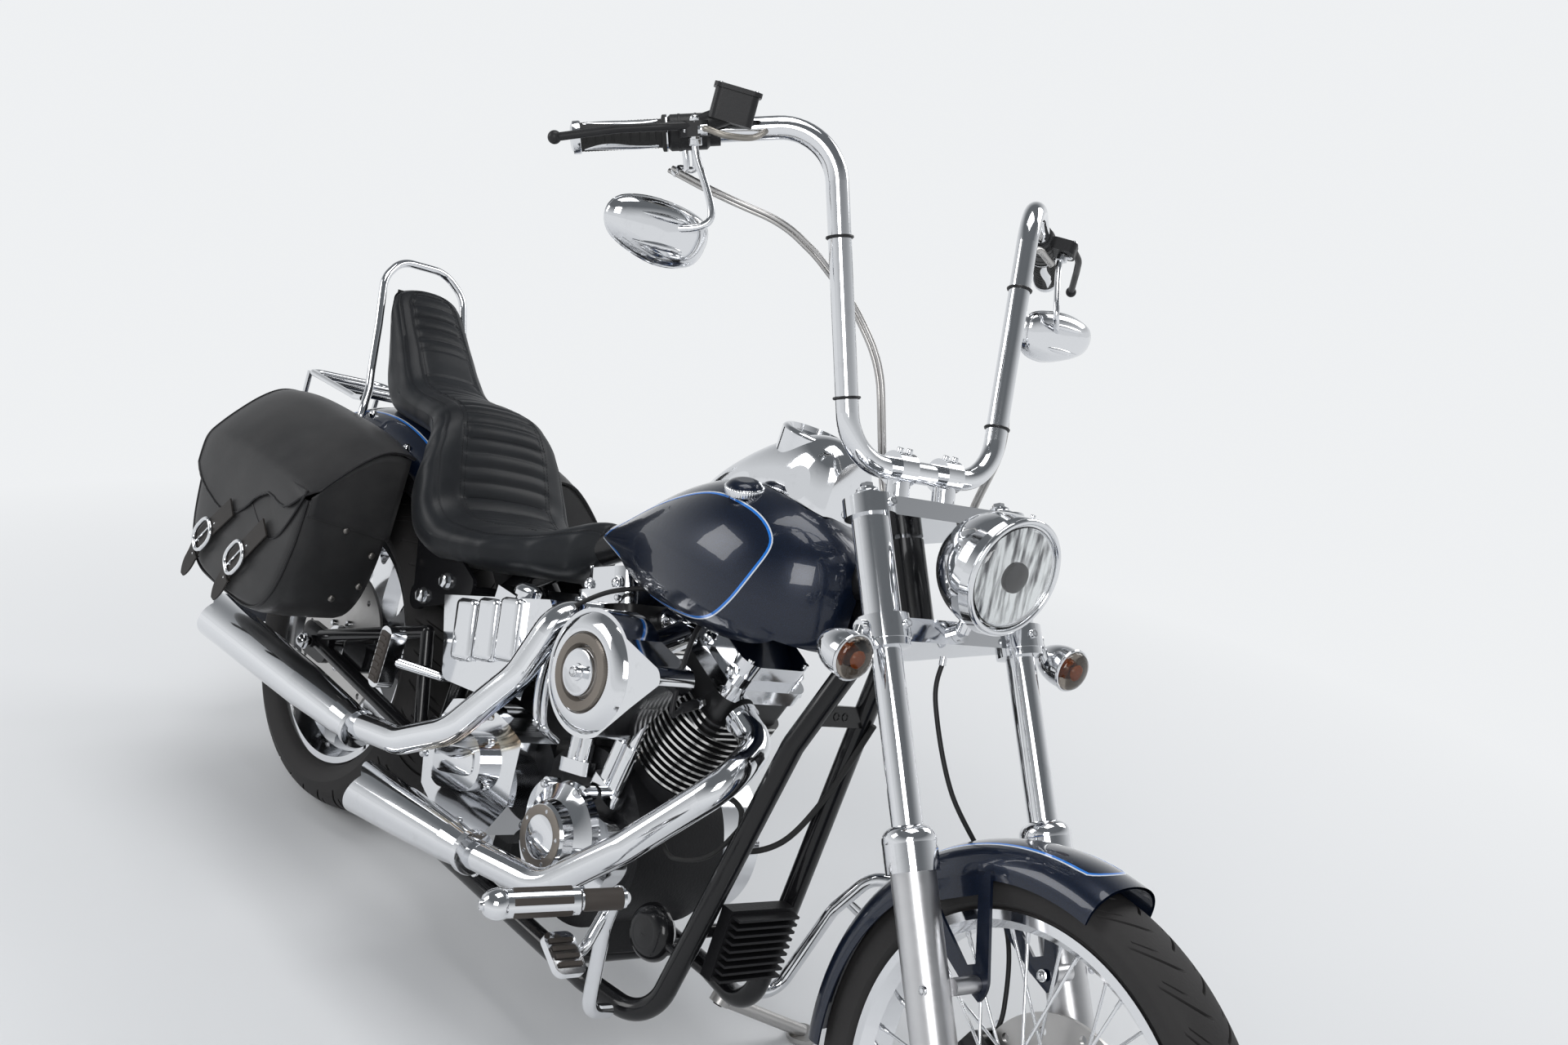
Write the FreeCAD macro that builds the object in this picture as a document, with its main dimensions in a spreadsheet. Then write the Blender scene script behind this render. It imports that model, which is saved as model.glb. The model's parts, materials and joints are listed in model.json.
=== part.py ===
import FreeCAD, Part
import math
import os
import re
import Sketcher

Vector = FreeCAD.Vector
Rotation = FreeCAD.Rotation
Placement = FreeCAD.Placement

doc = FreeCAD.newDocument("Chopper")

# Driving dimensions, in millimetres and degrees.
# The motorcycle is drawn upright: X forward from the rear axle, Y to its left, Z up from the ground.
sizes = {
    "wheelBase": 1705,
    "leanAngle": 12,
    "steerAngle": 5.4,
    "forkRake": 33.5,
    "forkOffset": 71,
    "forkHalfWidth": 130,
    # front wheel
    "frontTyreRadius": 342,
    "frontTyreWidth": 88,
    "frontTreadDrop": 16,
    "frontRimRadius": 280,
    "frontRimWidth": 66,
    "spokeRadius": 2.2,
    "spokeCount": 40,
    "axleRadius": 12,
    "axleBore": 8,
    "axleClearance": 0.4,
    "frontHubHalfLength": 55,
    "discRadius": 146,
    "discThickness": 6,
    "frontDiscPlace": 64,
    # rear wheel
    "rearTyreRadius": 326,
    "rearTyreWidth": 200,
    "rearTreadDrop": 42,
    "rearRimRadius": 232,
    "rearRimWidth": 150,
    "rearHubHalfLength": 92,
    "rearDiscPlace": 78,
    "rearSpokeCount": 6,
    "pulleyRadius": 118,
    "frontPulleyRadius": 40,
    "frontPulleyPlace": 560,
    "beltPlace": 118,
    "beltWidth": 22,
    "beltThickness": 5,
    "flangeHeight": 8,
    "flangeWall": 6,
    # fork
    "forkTubeRadius": 20.5,
    "forkCoverRadius": 26,
    "forkSliderRadius": 29,
    "forkCapRadius": 35,
    "sliderTop": 330,
    "sliderFoot": 34,
    "lowerClampPlace": 625,
    "lowerClampDepth": 32,
    "upperClampPlace": 792,
    "upperClampDepth": 26,
    "stemRadius": 15,
    "neckRadius": 29,
    # handlebar
    "barRadius": 16,
    "barBend": 75,
    "barRise": 478,
    "gripRadius": 19,
    "gripLength": 128,
    "gripStart": 224,
    "housingLength": 56,
    "housingRadius": 24,
    "riserRadius": 17,
    "riserHalfGap": 45,
    "throttleCable": 3.2,
    "clutchCable": 6,
    # lamps
    "lampRadius": 83,
    "lampDepth": 112,
    "lensRadius": 72,
    "signalRadius": 30,
    # frame
    "frameTubeRadius": 17,
    "backboneRadius": 30,
    "railDrop": 165,
    "railHalfWidth": 128,
    "postHalfWidth": 84,
    "swingLeft": 150,
    "swingRight": 128,
    "swingPivotRadius": 14,
    # engine
    "crankPlace": 850,
    "crankHeight": 335,
    "cylinderAngle": 22.5,
    "finRadius": 74,
    "barrelRadius": 58,
    "finCount": 11,
    "finPitch": 11.5,
    "finThickness": 4,
    "headFinCount": 3,
    "barrelStart": 158,
    "headLength": 74,
    "rockerHeight": 62,
    "caseHalfWidth": 88,
    "primaryFace": 196,
    # exhaust
    "pipeRadius": 24,
    "mufflerRadius": 46,
    "mufflerWall": 3,
    # tank and seat
    "tankHalfWidth": 146,
    "tankClearance": 12,
    "seatHalfWidth": 165,
    "backrestHalfWidth": 82,
    # fenders
    "frontFenderGap": 22,
    "rearFenderGap": 148,
    "rearFenderHalf": 120,
    "fenderWall": 3,
    # stand
    "standRadius": 11,
    "standFootRadius": 26,
    "standReach": 45,
    # saddlebags
    "bagLength": 430,
    "bagWidth": 180,
    "bagInner": 150,
    "bagFloor": 395,
    "bagHeight": 368,
    "bagDrop": 104,
    "bagWall": 5,
    "bagRear": 250,
}

sheet = doc.addObject("Spreadsheet::Sheet", "Dims")
for row, alias in enumerate(sizes, start=1):
    sheet.set("A%d" % row, alias)
    sheet.set("B%d" % row, str(sizes[alias]))
    sheet.setAlias("B%d" % row, alias)
doc.recompute()


def size(alias):
    return float(sheet.get(alias))


def bound(expression):
    """Point every alias in an expression at the sheet."""
    return re.sub(r"\b(?!sin|cos|tan|sqrt)[A-Za-z]\w+", r"Dims.\g<0>", expression)


gauge = doc.addObject("App::FeaturePython", "Gauge")
gauge.addProperty("App::PropertyFloat", "Reading")


def reading(expression):
    """The number that an expression of the sheet's aliases gives now."""
    gauge.setExpression("Reading", bound(expression))
    gauge.recompute()
    return gauge.Reading


def facing(start, direction, local=Vector(0, 0, 1)):
    """A placement at a point that turns a local axis to a direction."""
    return Placement(Vector(*start), Rotation(local, Vector(*direction)))


def rod(name, radius, start, end):
    """A round bar of bound radius between two points."""
    start, end = Vector(*start), Vector(*end)
    item = doc.addObject("Part::Cylinder", name)
    item.setExpression("Radius", bound(radius))
    item.Height = start.distanceToPoint(end)
    item.Placement = facing(start, end - start)
    return item


def block(name, length, width, height, centre, turn=Rotation()):
    """A box of bound sizes about its centre."""
    item = doc.addObject("Part::Box", name)
    item.setExpression("Length", bound(length))
    item.setExpression("Width", bound(width))
    item.setExpression("Height", bound(height))
    half = Vector(reading(length) / 2, reading(width) / 2, reading(height) / 2)
    item.Placement = Placement(Vector(*centre) - turn.multVec(half), turn)
    return item


def ball(name, radius, centre):
    item = doc.addObject("Part::Sphere", name)
    item.setExpression("Radius", bound(radius))
    item.Placement = Placement(Vector(*centre), Rotation())
    return item


def outline(body, name, points, plane):
    """A closed sketch through bound points; a point marked via bends its two neighbours into an arc."""
    sketch = body.newObject("Sketcher::SketchObject", name)
    origin = [item for item in body.Origin.OriginFeatures if item.Role == plane][0]
    sketch.AttachmentSupport = [(origin, "")]
    sketch.MapMode = "FlatFace"
    corners = [point for point in points if len(point) == 2]
    spots = [Vector(reading(point[0]), reading(point[1]), 0) for point in points]
    ends = [index for index, point in enumerate(points) if len(point) == 2]
    count = len(points)
    for place, first in enumerate(ends):
        last = ends[(place + 1) % len(ends)]
        if (last - first) % count == 2:
            middle = spots[(first + 1) % count]
            sketch.addGeometry(Part.Arc(spots[first], middle, spots[last]), False)
        else:
            sketch.addGeometry(Part.LineSegment(spots[first], spots[last]), False)
    for place, corner in enumerate(corners):
        if isinstance(sketch.Geometry[place], Part.LineSegment):
            for kind, expression in zip(("DistanceX", "DistanceY"), corner):
                number = reading(expression)
                if abs(number) > 1e-6:
                    rule = sketch.addConstraint(Sketcher.Constraint(kind, -1, 1, place, 1, number))
                    sketch.setExpression("Constraints[%d]" % rule, bound(expression))
    return sketch


def turned(name, points, start, direction, angle=360):
    """A body turned about its local X axis; the points are (place along the axis, radius)."""
    body = doc.addObject("PartDesign::Body", name)
    sketch = outline(body, name + "Profile", points, "XY_Plane")
    turn = body.newObject("PartDesign::Revolution", name + "Turn")
    turn.Profile = sketch
    turn.ReferenceAxis = (sketch, ["H_Axis"])
    turn.Angle = angle
    body.Placement = facing(start, direction, Vector(1, 0, 0))
    return body


def plate(name, points, depth, placement):
    """A padded outline of bound depth, centred on its plane."""
    body = doc.addObject("PartDesign::Body", name)
    sketch = outline(body, name + "Outline", points, "XY_Plane")
    pad = body.newObject("PartDesign::Pad", name + "Pad")
    pad.Profile = sketch
    pad.setExpression("Length", bound(depth))
    pad.Midplane = True
    body.Placement = placement
    return body


def roundedPath(points, bend):
    """A wire through points, each corner rounded by an arc of the given radius."""
    spots = [Vector(*point) for point in points]
    edges = []
    here = spots[0]
    for before, corner, after in zip(spots, spots[1:], spots[2:]):
        back, ahead = (before - corner), (after - corner)
        room = 0.48 * min(back.Length, ahead.Length)
        back.normalize()
        ahead.normalize()
        half = math.acos(max(-1.0, min(1.0, back.dot(ahead)))) / 2
        reach = min(bend / math.tan(half), room)
        radius = reach * math.tan(half)
        middle = (back + ahead).normalize()
        centre = corner + middle * (radius / math.sin(half))
        near, far = corner + back * reach, corner + ahead * reach
        if here.distanceToPoint(near) > 1e-3:
            edges.append(Part.LineSegment(here, near).toShape())
        edges.append(Part.Arc(near, centre - middle * radius, far).toShape())
        here = far
    edges.append(Part.LineSegment(here, spots[-1]).toShape())
    return Part.Wire(edges)


def bentTube(name, radius, points, bend):
    """A round bar or tube swept along a rounded path."""
    path = doc.addObject("Part::Feature", name + "Path")
    path.Shape = roundedPath(points, bend)
    ring = doc.addObject("Part::Circle", name + "Ring")
    ring.setExpression("Radius", bound(radius))
    ring.Placement = facing(points[0], Vector(*points[1]) - Vector(*points[0]))
    tube = doc.addObject("Part::Sweep", name)
    tube.Sections = [ring]
    tube.Spine = (path, ["Edge%d" % (index + 1) for index in range(len(path.Shape.Edges))])
    tube.Solid = True
    tube.Frenet = False
    return tube


def lofted(name, wires, ruled=False):
    """A solid through closed sections."""
    sections = []
    for index, wire in enumerate(wires):
        section = doc.addObject("Part::Feature", "%sSection%d" % (name, index))
        section.Shape = wire
        sections.append(section)
    loft = doc.addObject("Part::Loft", name)
    loft.Sections = sections
    loft.Solid = True
    loft.Ruled = ruled
    return loft


def ringOf(points):
    """A closed smooth curve through points."""
    curve = Part.BSplineCurve()
    curve.interpolate([Vector(*point) for point in points], PeriodicFlag=True)
    return Part.Wire([curve.toShape()])


def joined(name, items):
    fuse = doc.addObject("Part::MultiFuse", name)
    fuse.Shapes = items
    fuse.Refine = False
    return fuse


def cutAway(name, base, tool):
    cut = doc.addObject("Part::Cut", name)
    cut.Base = base
    cut.Tool = tool
    return cut


def together(name, items):
    """Solids of one node that don't touch."""
    group = doc.addObject("Part::Compound", name)
    group.Links = items
    return group


def mirrored(name, item):
    """The same piece on the other side of the motorcycle."""
    mirror = doc.addObject("Part::Mirroring", name)
    mirror.Source = item
    mirror.Normal = Vector(0, 1, 0)
    return mirror


nodes = {}


def node(label, item):
    """Keep an object as the sub-part of that name."""
    nodes[label] = item
    return item


# Lines that everything else is placed on
rake = math.radians(size("forkRake"))
forkUp = Vector(-math.sin(rake), 0, math.cos(rake))
forkAhead = Vector(math.cos(rake), 0, math.sin(rake))
left = Vector(0, 1, 0)
frontAxle = Vector(size("wheelBase"), 0, size("frontTyreRadius"))
rearAxle = Vector(0, 0, size("rearTyreRadius"))


def onFork(along, ahead=0, side=0):
    """A point given along the fork from the axle, ahead of the tubes and to the left."""
    return frontAxle + forkUp * along + forkAhead * ahead + left * side


def tyre(name, prefix, seat, centre):
    """A crowned road tyre seated between the rim's flanges."""
    half = prefix + "TyreWidth / 2"
    bead = "(%sRimWidth / 2 - flangeWall)" % prefix
    lip = "(%sRimRadius + 1)" % prefix
    shoulder = "(%sTyreRadius - %sTreadDrop)" % (prefix, prefix)
    tread = "(%sTyreWidth * 0.47)" % prefix
    waist = "((%sRimRadius + %sTyreRadius - %sTreadDrop) / 2 + 4)" % (prefix, prefix, prefix)
    points = [
        ("-" + bead, seat), ("-" + bead, lip), ("-" + half, waist, "via"),
        ("-" + tread, shoulder), ("0", prefix + "TyreRadius", "via"), (tread, shoulder),
        (half, waist, "via"), (bead, lip), (bead, seat),
    ]
    return turned(name, points, centre, left)


def rimRing(name, prefix, centre):
    """A channel rim with a dropped middle."""
    half = "(%sRimWidth / 2)" % prefix
    bead = "(%sRimWidth / 2 - flangeWall)" % prefix
    outer = prefix + "RimRadius"
    seat = "(%sRimRadius - flangeHeight)" % prefix
    points = [
        ("-" + half, outer), ("-" + bead, outer), ("-" + bead, seat), (bead, seat), (bead, outer),
        (half, outer), (half, seat + " - 4"), (half + " * 0.55", seat + " - 16"),
        ("-" + half + " * 0.55", seat + " - 16"), ("-" + half, seat + " - 4"),
    ]
    return turned(name, points, centre, left)


def discAt(name, radius, inner, place, centre):
    """A flat brake disc with a ring of round holes."""
    points = [
        (place + " - discThickness / 2", inner), (place + " + discThickness / 2", inner),
        (place + " + discThickness / 2", radius), (place + " - discThickness / 2", radius),
    ]
    ring = turned(name + "Ring", points, centre, left)
    holes = []
    count = 12
    for index in range(count):
        turn = 2 * math.pi * index / count
        reach = reading(radius) - 24 + 8 * (index % 2)
        spot = centre + Vector(math.cos(turn), 0, math.sin(turn)) * reach + left * reading(place)
        holes.append(rod("%sHole%d" % (name, index), "discThickness", spot - left * 8, spot + left * 8))
    return cutAway(name, ring, together(name + "Holes", holes))


def roundedPlate(name, length, width, corner, depth, placement):
    """A padded rectangle with rounded corners, centred on its plane."""
    points = []
    for along, across in ((1, 1), (-1, 1), (-1, -1), (1, -1)):
        far = ["%d * (%s) / 2" % (along, length), "%d * (%s) / 2" % (across, width)]
        near = ["%s - %d * (%s)" % (far[0], along, corner), "%s - %d * (%s)" % (far[1], across, corner)]
        bulge = ("%s - %d * (%s) * 0.293" % (far[0], along, corner), "%s - %d * (%s) * 0.293" % (far[1],
            across, corner))
        ends = [(far[0], near[1]), bulge + ("via",), (near[0], far[1])]
        points += ends if along * across > 0 else ends[::-1]
    return plate(name, points, depth, placement)


def shared(name, items):
    """What several solids have in common."""
    common = doc.addObject("Part::MultiCommon", name)
    common.Shapes = items
    return common


def otherSide(point):
    return Vector(point[0], -point[1], point[2])


def hand(sign):
    return "Left" if sign > 0 else "Right"


crank = Vector(size("crankPlace"), 0, size("crankHeight"))
sideways = Rotation(Vector(1, 0, 0), 90)


def fromCrank(along, side, above):
    """A point given from the middle of the crankcase."""
    return crank + Vector(along, side, above)


# Front wheel: a laced rim with a hub that carries the disc on its left flange
node("front_tyre", tyre("FrontTyre", "front", "(frontRimRadius - flangeHeight)", frontAxle))
bore = "axleRadius + axleClearance"
discSeat = "frontDiscPlace - discThickness / 2"
hub = turned("FrontHub", [
    ("-frontHubHalfLength", bore), ("-frontHubHalfLength", "28"), ("-43", "28"), ("-43", "42"),
    ("-37", "42"), ("-30", "25"), ("30", "25"), ("37", "42"), ("43", "42"), ("43", "28"),
    (discSeat + " - 6", "28"), (discSeat + " - 6", "40"), (discSeat, "40"), (discSeat, bore),
], frontAxle, left)
spokes = []
spokeCount = int(size("spokeCount"))
nippleRadius = size("frontRimRadius") - size("flangeHeight") - 12
for index in range(spokeCount):
    side = 1 if index % 2 else -1
    lead = 1 if (index // 2) % 2 else -1
    rimTurn = 2 * math.pi * index / spokeCount
    hubTurn = rimTurn + lead * math.radians(62)
    outerEnd = frontAxle + Vector(math.cos(rimTurn), 0, math.sin(rimTurn)) * nippleRadius
    hubSpot = Vector(math.cos(hubTurn), 0, math.sin(hubTurn)) * 38
    innerEnd = frontAxle + hubSpot + left * (side * 40 + lead * 2.6)
    spokes.append(rod("Spoke%d" % index, "spokeRadius", innerEnd, outerEnd + left * (side * 7 + lead * 2.6)))
frontRim = rimRing("FrontRimRing", "front", frontAxle)
node("front_wheel", joined("FrontWheel", [frontRim, hub] + spokes))
node("front_disc", discAt("FrontDisc", "discRadius", "29", "frontDiscPlace", frontAxle))

# Rear wheel: a cast rim on tapered blades, each with an oval window near the rim
node("rear_tyre", tyre("RearTyre", "rear", "(rearRimRadius - flangeHeight)", rearAxle))
rearSeat = "-rearDiscPlace + discThickness / 2"
rearHub = turned("RearHub", [
    ("-rearHubHalfLength", bore), ("-rearHubHalfLength", "34"), (rearSeat, "34"), (rearSeat, "52"),
    ("-60", "52"), ("-50", "40"), ("-40", "56"), ("40", "56"), ("50", "40"), ("rearHubHalfLength", "40"),
    ("rearHubHalfLength", bore),
], rearAxle, left)
blades = []
bladeCount = int(size("rearSpokeCount"))
for index in range(bladeCount):
    turn = Rotation(left, 360 * index / bladeCount + 20)
    place = Placement(rearAxle, turn.multiply(sideways))
    blade = plate("RearBlade%d" % index, [
        ("30", "-26"), ("110", "-24", "via"), ("rearRimRadius - 18", "-64"), ("rearRimRadius - 18", "64"),
        ("110", "24", "via"), ("30", "26"),
    ], "38", place)
    window = plate("RearWindow%d" % index, [
        ("rearRimRadius - 42", "-24"), ("rearRimRadius - 32", "0", "via"), ("rearRimRadius - 42", "24"),
        ("rearRimRadius - 62", "10"), ("rearRimRadius - 68", "0", "via"), ("rearRimRadius - 62", "-10"),
    ], "60", place)
    blades.append(cutAway("RearCastBlade%d" % index, blade, window))
rearRim = rimRing("RearRimRing", "rear", rearAxle)
node("rear_wheel", joined("RearWheel", [rearRim, rearHub] + blades))
node("rear_disc", discAt("RearDisc", "discRadius", "35", "-rearDiscPlace", rearAxle))
beltFar, beltNear = "(beltPlace + beltWidth / 2 + 1)", "(beltPlace - beltWidth / 2 - 1)"
node("rear_pulley", turned("RearPulley", [
    ("rearHubHalfLength", bore), ("rearHubHalfLength", "38"), (beltNear, "70"), (beltNear, "pulleyRadius"),
    (beltFar, "pulleyRadius"), (beltFar, "pulleyRadius - 16"), ("beltPlace", "pulleyRadius - 22"),
    ("beltPlace", "70"), ("rearHubHalfLength + 12", "34"), ("rearHubHalfLength + 12", bore),
], rearAxle, left))

# Drive belt: a flat loop round both pulleys
beltSlope = "((pulleyRadius - frontPulleyRadius) / frontPulleyPlace)"
beltRise = "sqrt(1 - %s * %s)" % (beltSlope, beltSlope)


def beltLoop(name, gap, depth):
    rear, front = "(pulleyRadius + %s)" % gap, "(frontPulleyRadius + %s)" % gap
    return plate(name, [
        ("%s * %s" % (rear, beltSlope), "%s * %s" % (rear, beltRise)),
        ("frontPulleyPlace + %s * %s" % (front, beltSlope), "%s * %s" % (front, beltRise)),
        ("frontPulleyPlace + " + front, "0", "via"),
        ("frontPulleyPlace + %s * %s" % (front, beltSlope), "-%s * %s" % (front, beltRise)),
        ("%s * %s" % (rear, beltSlope), "-%s * %s" % (rear, beltRise)),
        ("-" + rear, "0", "via"),
    ], depth, Placement(rearAxle + left * size("beltPlace"), sideways))


node("drive_belt", cutAway("DriveBelt", beltLoop("BeltOuter", "(0.3 + beltThickness)", "beltWidth"),
                           beltLoop("BeltInner", "0.3", "beltWidth + 20")))

# Fork: sliders on a hollow axle, tubes with covers, and two clamps on the stem
sliders = []
forkParts = []
for sign in (1, -1):
    foot = onFork(0, 0, sign * size("forkHalfWidth"))
    sliders.append(turned("Slider" + hand(sign), [
        ("-sliderFoot", "0"), ("-sliderFoot", "20"), ("-24", "30"), ("30", "forkSliderRadius + 2"),
        ("60", "forkSliderRadius"), ("sliderTop", "forkSliderRadius"), ("sliderTop", "0"),
    ], foot, forkUp))
    forkParts.append(turned("ForkTube" + hand(sign), [
        ("sliderTop", "0"), ("sliderTop", "forkCapRadius"), ("sliderTop + 36", "forkCapRadius"),
        ("sliderTop + 52", "forkCapRadius * 0.88", "via"), ("sliderTop + 58", "forkTubeRadius"),
        ("lowerClampPlace - 12", "forkTubeRadius"), ("lowerClampPlace - 10", "forkCapRadius - 2"),
        ("lowerClampPlace + 6", "forkCapRadius - 2"), ("lowerClampPlace + 8", "forkCoverRadius"),
        ("upperClampPlace + 4", "forkCoverRadius"), ("upperClampPlace + 6", "forkTubeRadius"),
        ("upperClampPlace + upperClampDepth + 6", "forkTubeRadius"),
        ("upperClampPlace + upperClampDepth + 10", "forkTubeRadius - 5"),
        ("upperClampPlace + upperClampDepth + 10", "0"),
    ], foot, forkUp))
    hubEnd = reading(discSeat if sign > 0 else "frontHubHalfLength") + 0.3
    sliders.append(rod("FrontSpacer" + hand(sign), "axleRadius + 6", frontAxle + left * sign * hubEnd,
                       frontAxle + left * sign * (size("forkHalfWidth") - size("forkSliderRadius") + 4)))
axleReach = left * (size("forkHalfWidth") + 36)
sliders.append(rod("FrontAxleBar", "axleRadius", frontAxle - axleReach, frontAxle + axleReach))
for sign in (1, -1):
    boss = onFork(190, 22)
    sliders.append(rod("FenderBoss" + hand(sign), "11", boss + left * sign * (size("forkHalfWidth") - 20),
                       boss + left * sign * 67.5))
frontBore = rod("FrontAxleBore", "axleBore", frontAxle - axleReach * 1.1, frontAxle + axleReach * 1.1)
node("fork_sliders", cutAway("ForkSliders", joined("ForkSliderSolid", sliders), frontBore))


def clampPlate(name, place, depth, front):
    """A fork clamp: two bosses joined by a bridge that reaches back to the stem."""
    middle = onFork(size(place) + size(depth) / 2)
    turn = Rotation(forkAhead, left, forkUp, "ZXY")
    bridge = plate(name + "Bridge", [
        (front, "-forkHalfWidth + 20"), (front, "forkHalfWidth - 20"), ("6", "forkHalfWidth"),
        ("-20", "forkHalfWidth"), ("-forkOffset - 12", "28"), ("-forkOffset - 26", "0", "via"),
        ("-forkOffset - 12", "-28"), ("-20", "-forkHalfWidth"), ("6", "-forkHalfWidth"),
    ], depth, Placement(middle, turn))
    parts = [bridge]
    for sign in (1, -1):
        start = onFork(size(place), 0, sign * size("forkHalfWidth"))
        parts.append(rod("%sBoss%s" % (name, hand(sign)), "forkCapRadius", start,
            start + forkUp * size(depth)))
    return parts


stem = rod("SteeringStem", "stemRadius", onFork(size("lowerClampPlace"), -size("forkOffset")),
           onFork(size("upperClampPlace") + 5, -size("forkOffset")))
clamps = clampPlate("LowerClamp", "lowerClampPlace", "lowerClampDepth", "8")
clamps += clampPlate("UpperClamp", "upperClampPlace", "upperClampDepth", "26")
clampTop = size("upperClampPlace") + size("upperClampDepth")
stemNut = turned("StemNut", [
    ("0", "0"), ("0", "19"), ("10", "19"), ("16", "14", "via"), ("19", "6"), ("19", "0"),
], onFork(clampTop - 1, -size("forkOffset")), forkUp)
node("fork_upper", joined("ForkUpper", forkParts + clamps + [stem, stemNut]))

# Handlebar: a tall hoop on two short risers, its ends swept out to the grips
barFoot = onFork(clampTop, -34)
barMiddle = barFoot + Vector(-18, 0, 58)
lowBend = Vector(barMiddle.x - 2, 137, barMiddle.z - 2)
highBend = Vector(barFoot.x - 162, 203, barFoot.z + size("barRise"))
gripRun = Vector(-0.524, 0.789, -0.319).normalize()
barEnd = highBend + gripRun * (size("gripStart") - size("housingLength"))
housingEnd = highBend + gripRun * size("gripStart")
barPoints = [housingEnd + gripRun * (size("gripLength") - 12), highBend, lowBend]
barPoints += [otherSide(point) for point in reversed(barPoints)]
bar = bentTube("BarTube", "barRadius - 4", barPoints, size("barBend"))
thickPoints = [barEnd, highBend, lowBend]
thickPoints += [otherSide(point) for point in reversed(thickPoints)]
thickBar = bentTube("ThickBarTube", "barRadius", thickPoints, size("barBend"))
risers = []
for sign in (1, -1):
    side = left * sign * size("riserHalfGap")
    risers.append(rod("RiserFoot" + hand(sign), "riserRadius + 5", barFoot + side,
        barFoot + side + forkUp * 7))
    risers.append(rod("Riser" + hand(sign), "riserRadius", barFoot + side + forkUp * 6, barMiddle + side))
    risers.append(rod("RiserCap" + hand(sign), "barRadius + 8", barMiddle + side - left * 16,
                      barMiddle + side + left * 16))
node("handlebar", joined("Handlebar", [bar, thickBar] + risers))

grip = turned("GripLeft", [
    ("0", "barRadius - 3.7"), ("0", "gripRadius + 5"), ("6", "gripRadius + 5"), ("9", "gripRadius"),
    ("gripLength - 16", "gripRadius"), ("gripLength - 14", "gripRadius + 2"), ("gripLength - 4",
        "gripRadius + 1"),
    ("gripLength", "gripRadius - 5"), ("gripLength", "0"), ("gripLength - 11.7", "0"),
    ("gripLength - 11.7", "barRadius - 3.7"),
], housingEnd, gripRun)
node("grips", together("Grips", [grip, mirrored("GripRight", grip)]))

# Hand controls: a switch housing, a perch and a curved lever each side, and the right one's fluid box
gripFront = gripRun.cross(Vector(0, 0, 1)).normalize()
gripTop = gripFront.cross(gripRun).normalize()
housing = turned("SwitchHousing", [
    ("0", "barRadius + 0.3"), ("0", "housingRadius - 4"), ("4", "housingRadius"),
    ("housingLength - 5", "housingRadius"), ("housingLength - 0.6", "housingRadius - 4"),
    ("housingLength - 0.6", "barRadius + 0.3"),
], barEnd, gripRun)
housingBack = rod("HousingEndRing", "housingRadius - 4", barEnd - gripRun * 14, barEnd + gripRun * 1)
housingBore = rod("HousingBore", "barRadius + 0.3", barEnd - gripRun * 20, barEnd + gripRun * 4)
perch = barEnd + gripRun * 20
leverPivot = perch + gripFront * 50 + gripTop * 6
perchArm = roundedPlate("PerchArm", "44", "40", "12", "20", Placement(
    perch + gripFront * 36 + gripTop * 2, Rotation(gripFront, gripRun, gripTop, "ZXY")))
leverEnd = leverPivot + gripRun * 182 - gripFront * 6 - gripTop * 6
lever = bentTube("Lever", "5.5", [
    leverPivot - gripRun * 6, leverPivot + gripRun * 44 + gripFront * 10,
    leverPivot + gripRun * 100 + gripFront * 4,
    leverEnd], 90)
controlLeft = joined("ControlLeft", [cutAway("HousingShell", joined("HousingSolid", [housing, housingBack]),
    housingBore),
                                     perchArm, lever, ball("LeverBall", "9", leverEnd)])
fluidPlace = perch - gripRun * 52 + gripFront * 40 + gripTop * 26
fluidPlace = otherSide(fluidPlace)
fluidTurn = Rotation(otherSide(gripRun), otherSide(gripFront), Vector(0, 0, 1), "ZXY")
fluidBox = roundedPlate("FluidBox", "58", "46", "9", "40", Placement(fluidPlace, fluidTurn))
fluidLid = roundedPlate("FluidLid", "64", "52", "11", "6", Placement(fluidPlace + Vector(0, 0, 23),
    fluidTurn))
fluidNeck = rod("FluidNeck", "13", otherSide(perch + gripFront * 40 + gripTop * 5), fluidPlace - Vector(0, 0,
    6))
controlRight = joined("ControlRightSolid", [mirrored("ControlRight", controlLeft), fluidBox, fluidLid,
    fluidNeck])
node("hand_controls", together("HandControls", [controlLeft, controlRight]))

# Mirrors hang below the perches on bent stems
mirrorHead = Vector(1006, 401, 1285)
mirrorFoot = perch + gripFront * 40 - gripTop * 9.4
mirrorFace = Vector(-1, 0.12, -0.04).normalize()


def mirrorRing(place, share):
    """The shell's outline, wider at the top, at a distance ahead of its glass."""
    spots = []
    for across, above in ((-68, 24), (-62, 46), (0, 49), (62, 46), (68, 24), (58, -22), (46, -44), (0, -48),
                          (-46, -44), (-58, -22)):
        spot = mirrorHead - mirrorFace * place + Vector(0, across * share, above * share)
        spots.append((spot.x, spot.y, spot.z))
    return ringOf(spots)


mirrorShell = lofted("MirrorShell", [mirrorRing(0, 1), mirrorRing(8, 0.99), mirrorRing(18, 0.82),
    mirrorRing(25, 0.5)])
mirrorStem = bentTube("MirrorStem", "5", [
    mirrorFoot, mirrorFoot - gripTop * 22, mirrorHead + Vector(24, -26, 58), mirrorHead + Vector(12, -8, 16)],
    30)
mirrorCollar = rod("MirrorCollar", "9", mirrorFoot, mirrorFoot - gripTop * 10)
mirrorLeft = joined("MirrorLeft", [mirrorStem, mirrorShell, mirrorCollar])
node("mirrors", together("Mirrors", [mirrorLeft, mirrored("MirrorRight", mirrorLeft)]))

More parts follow.
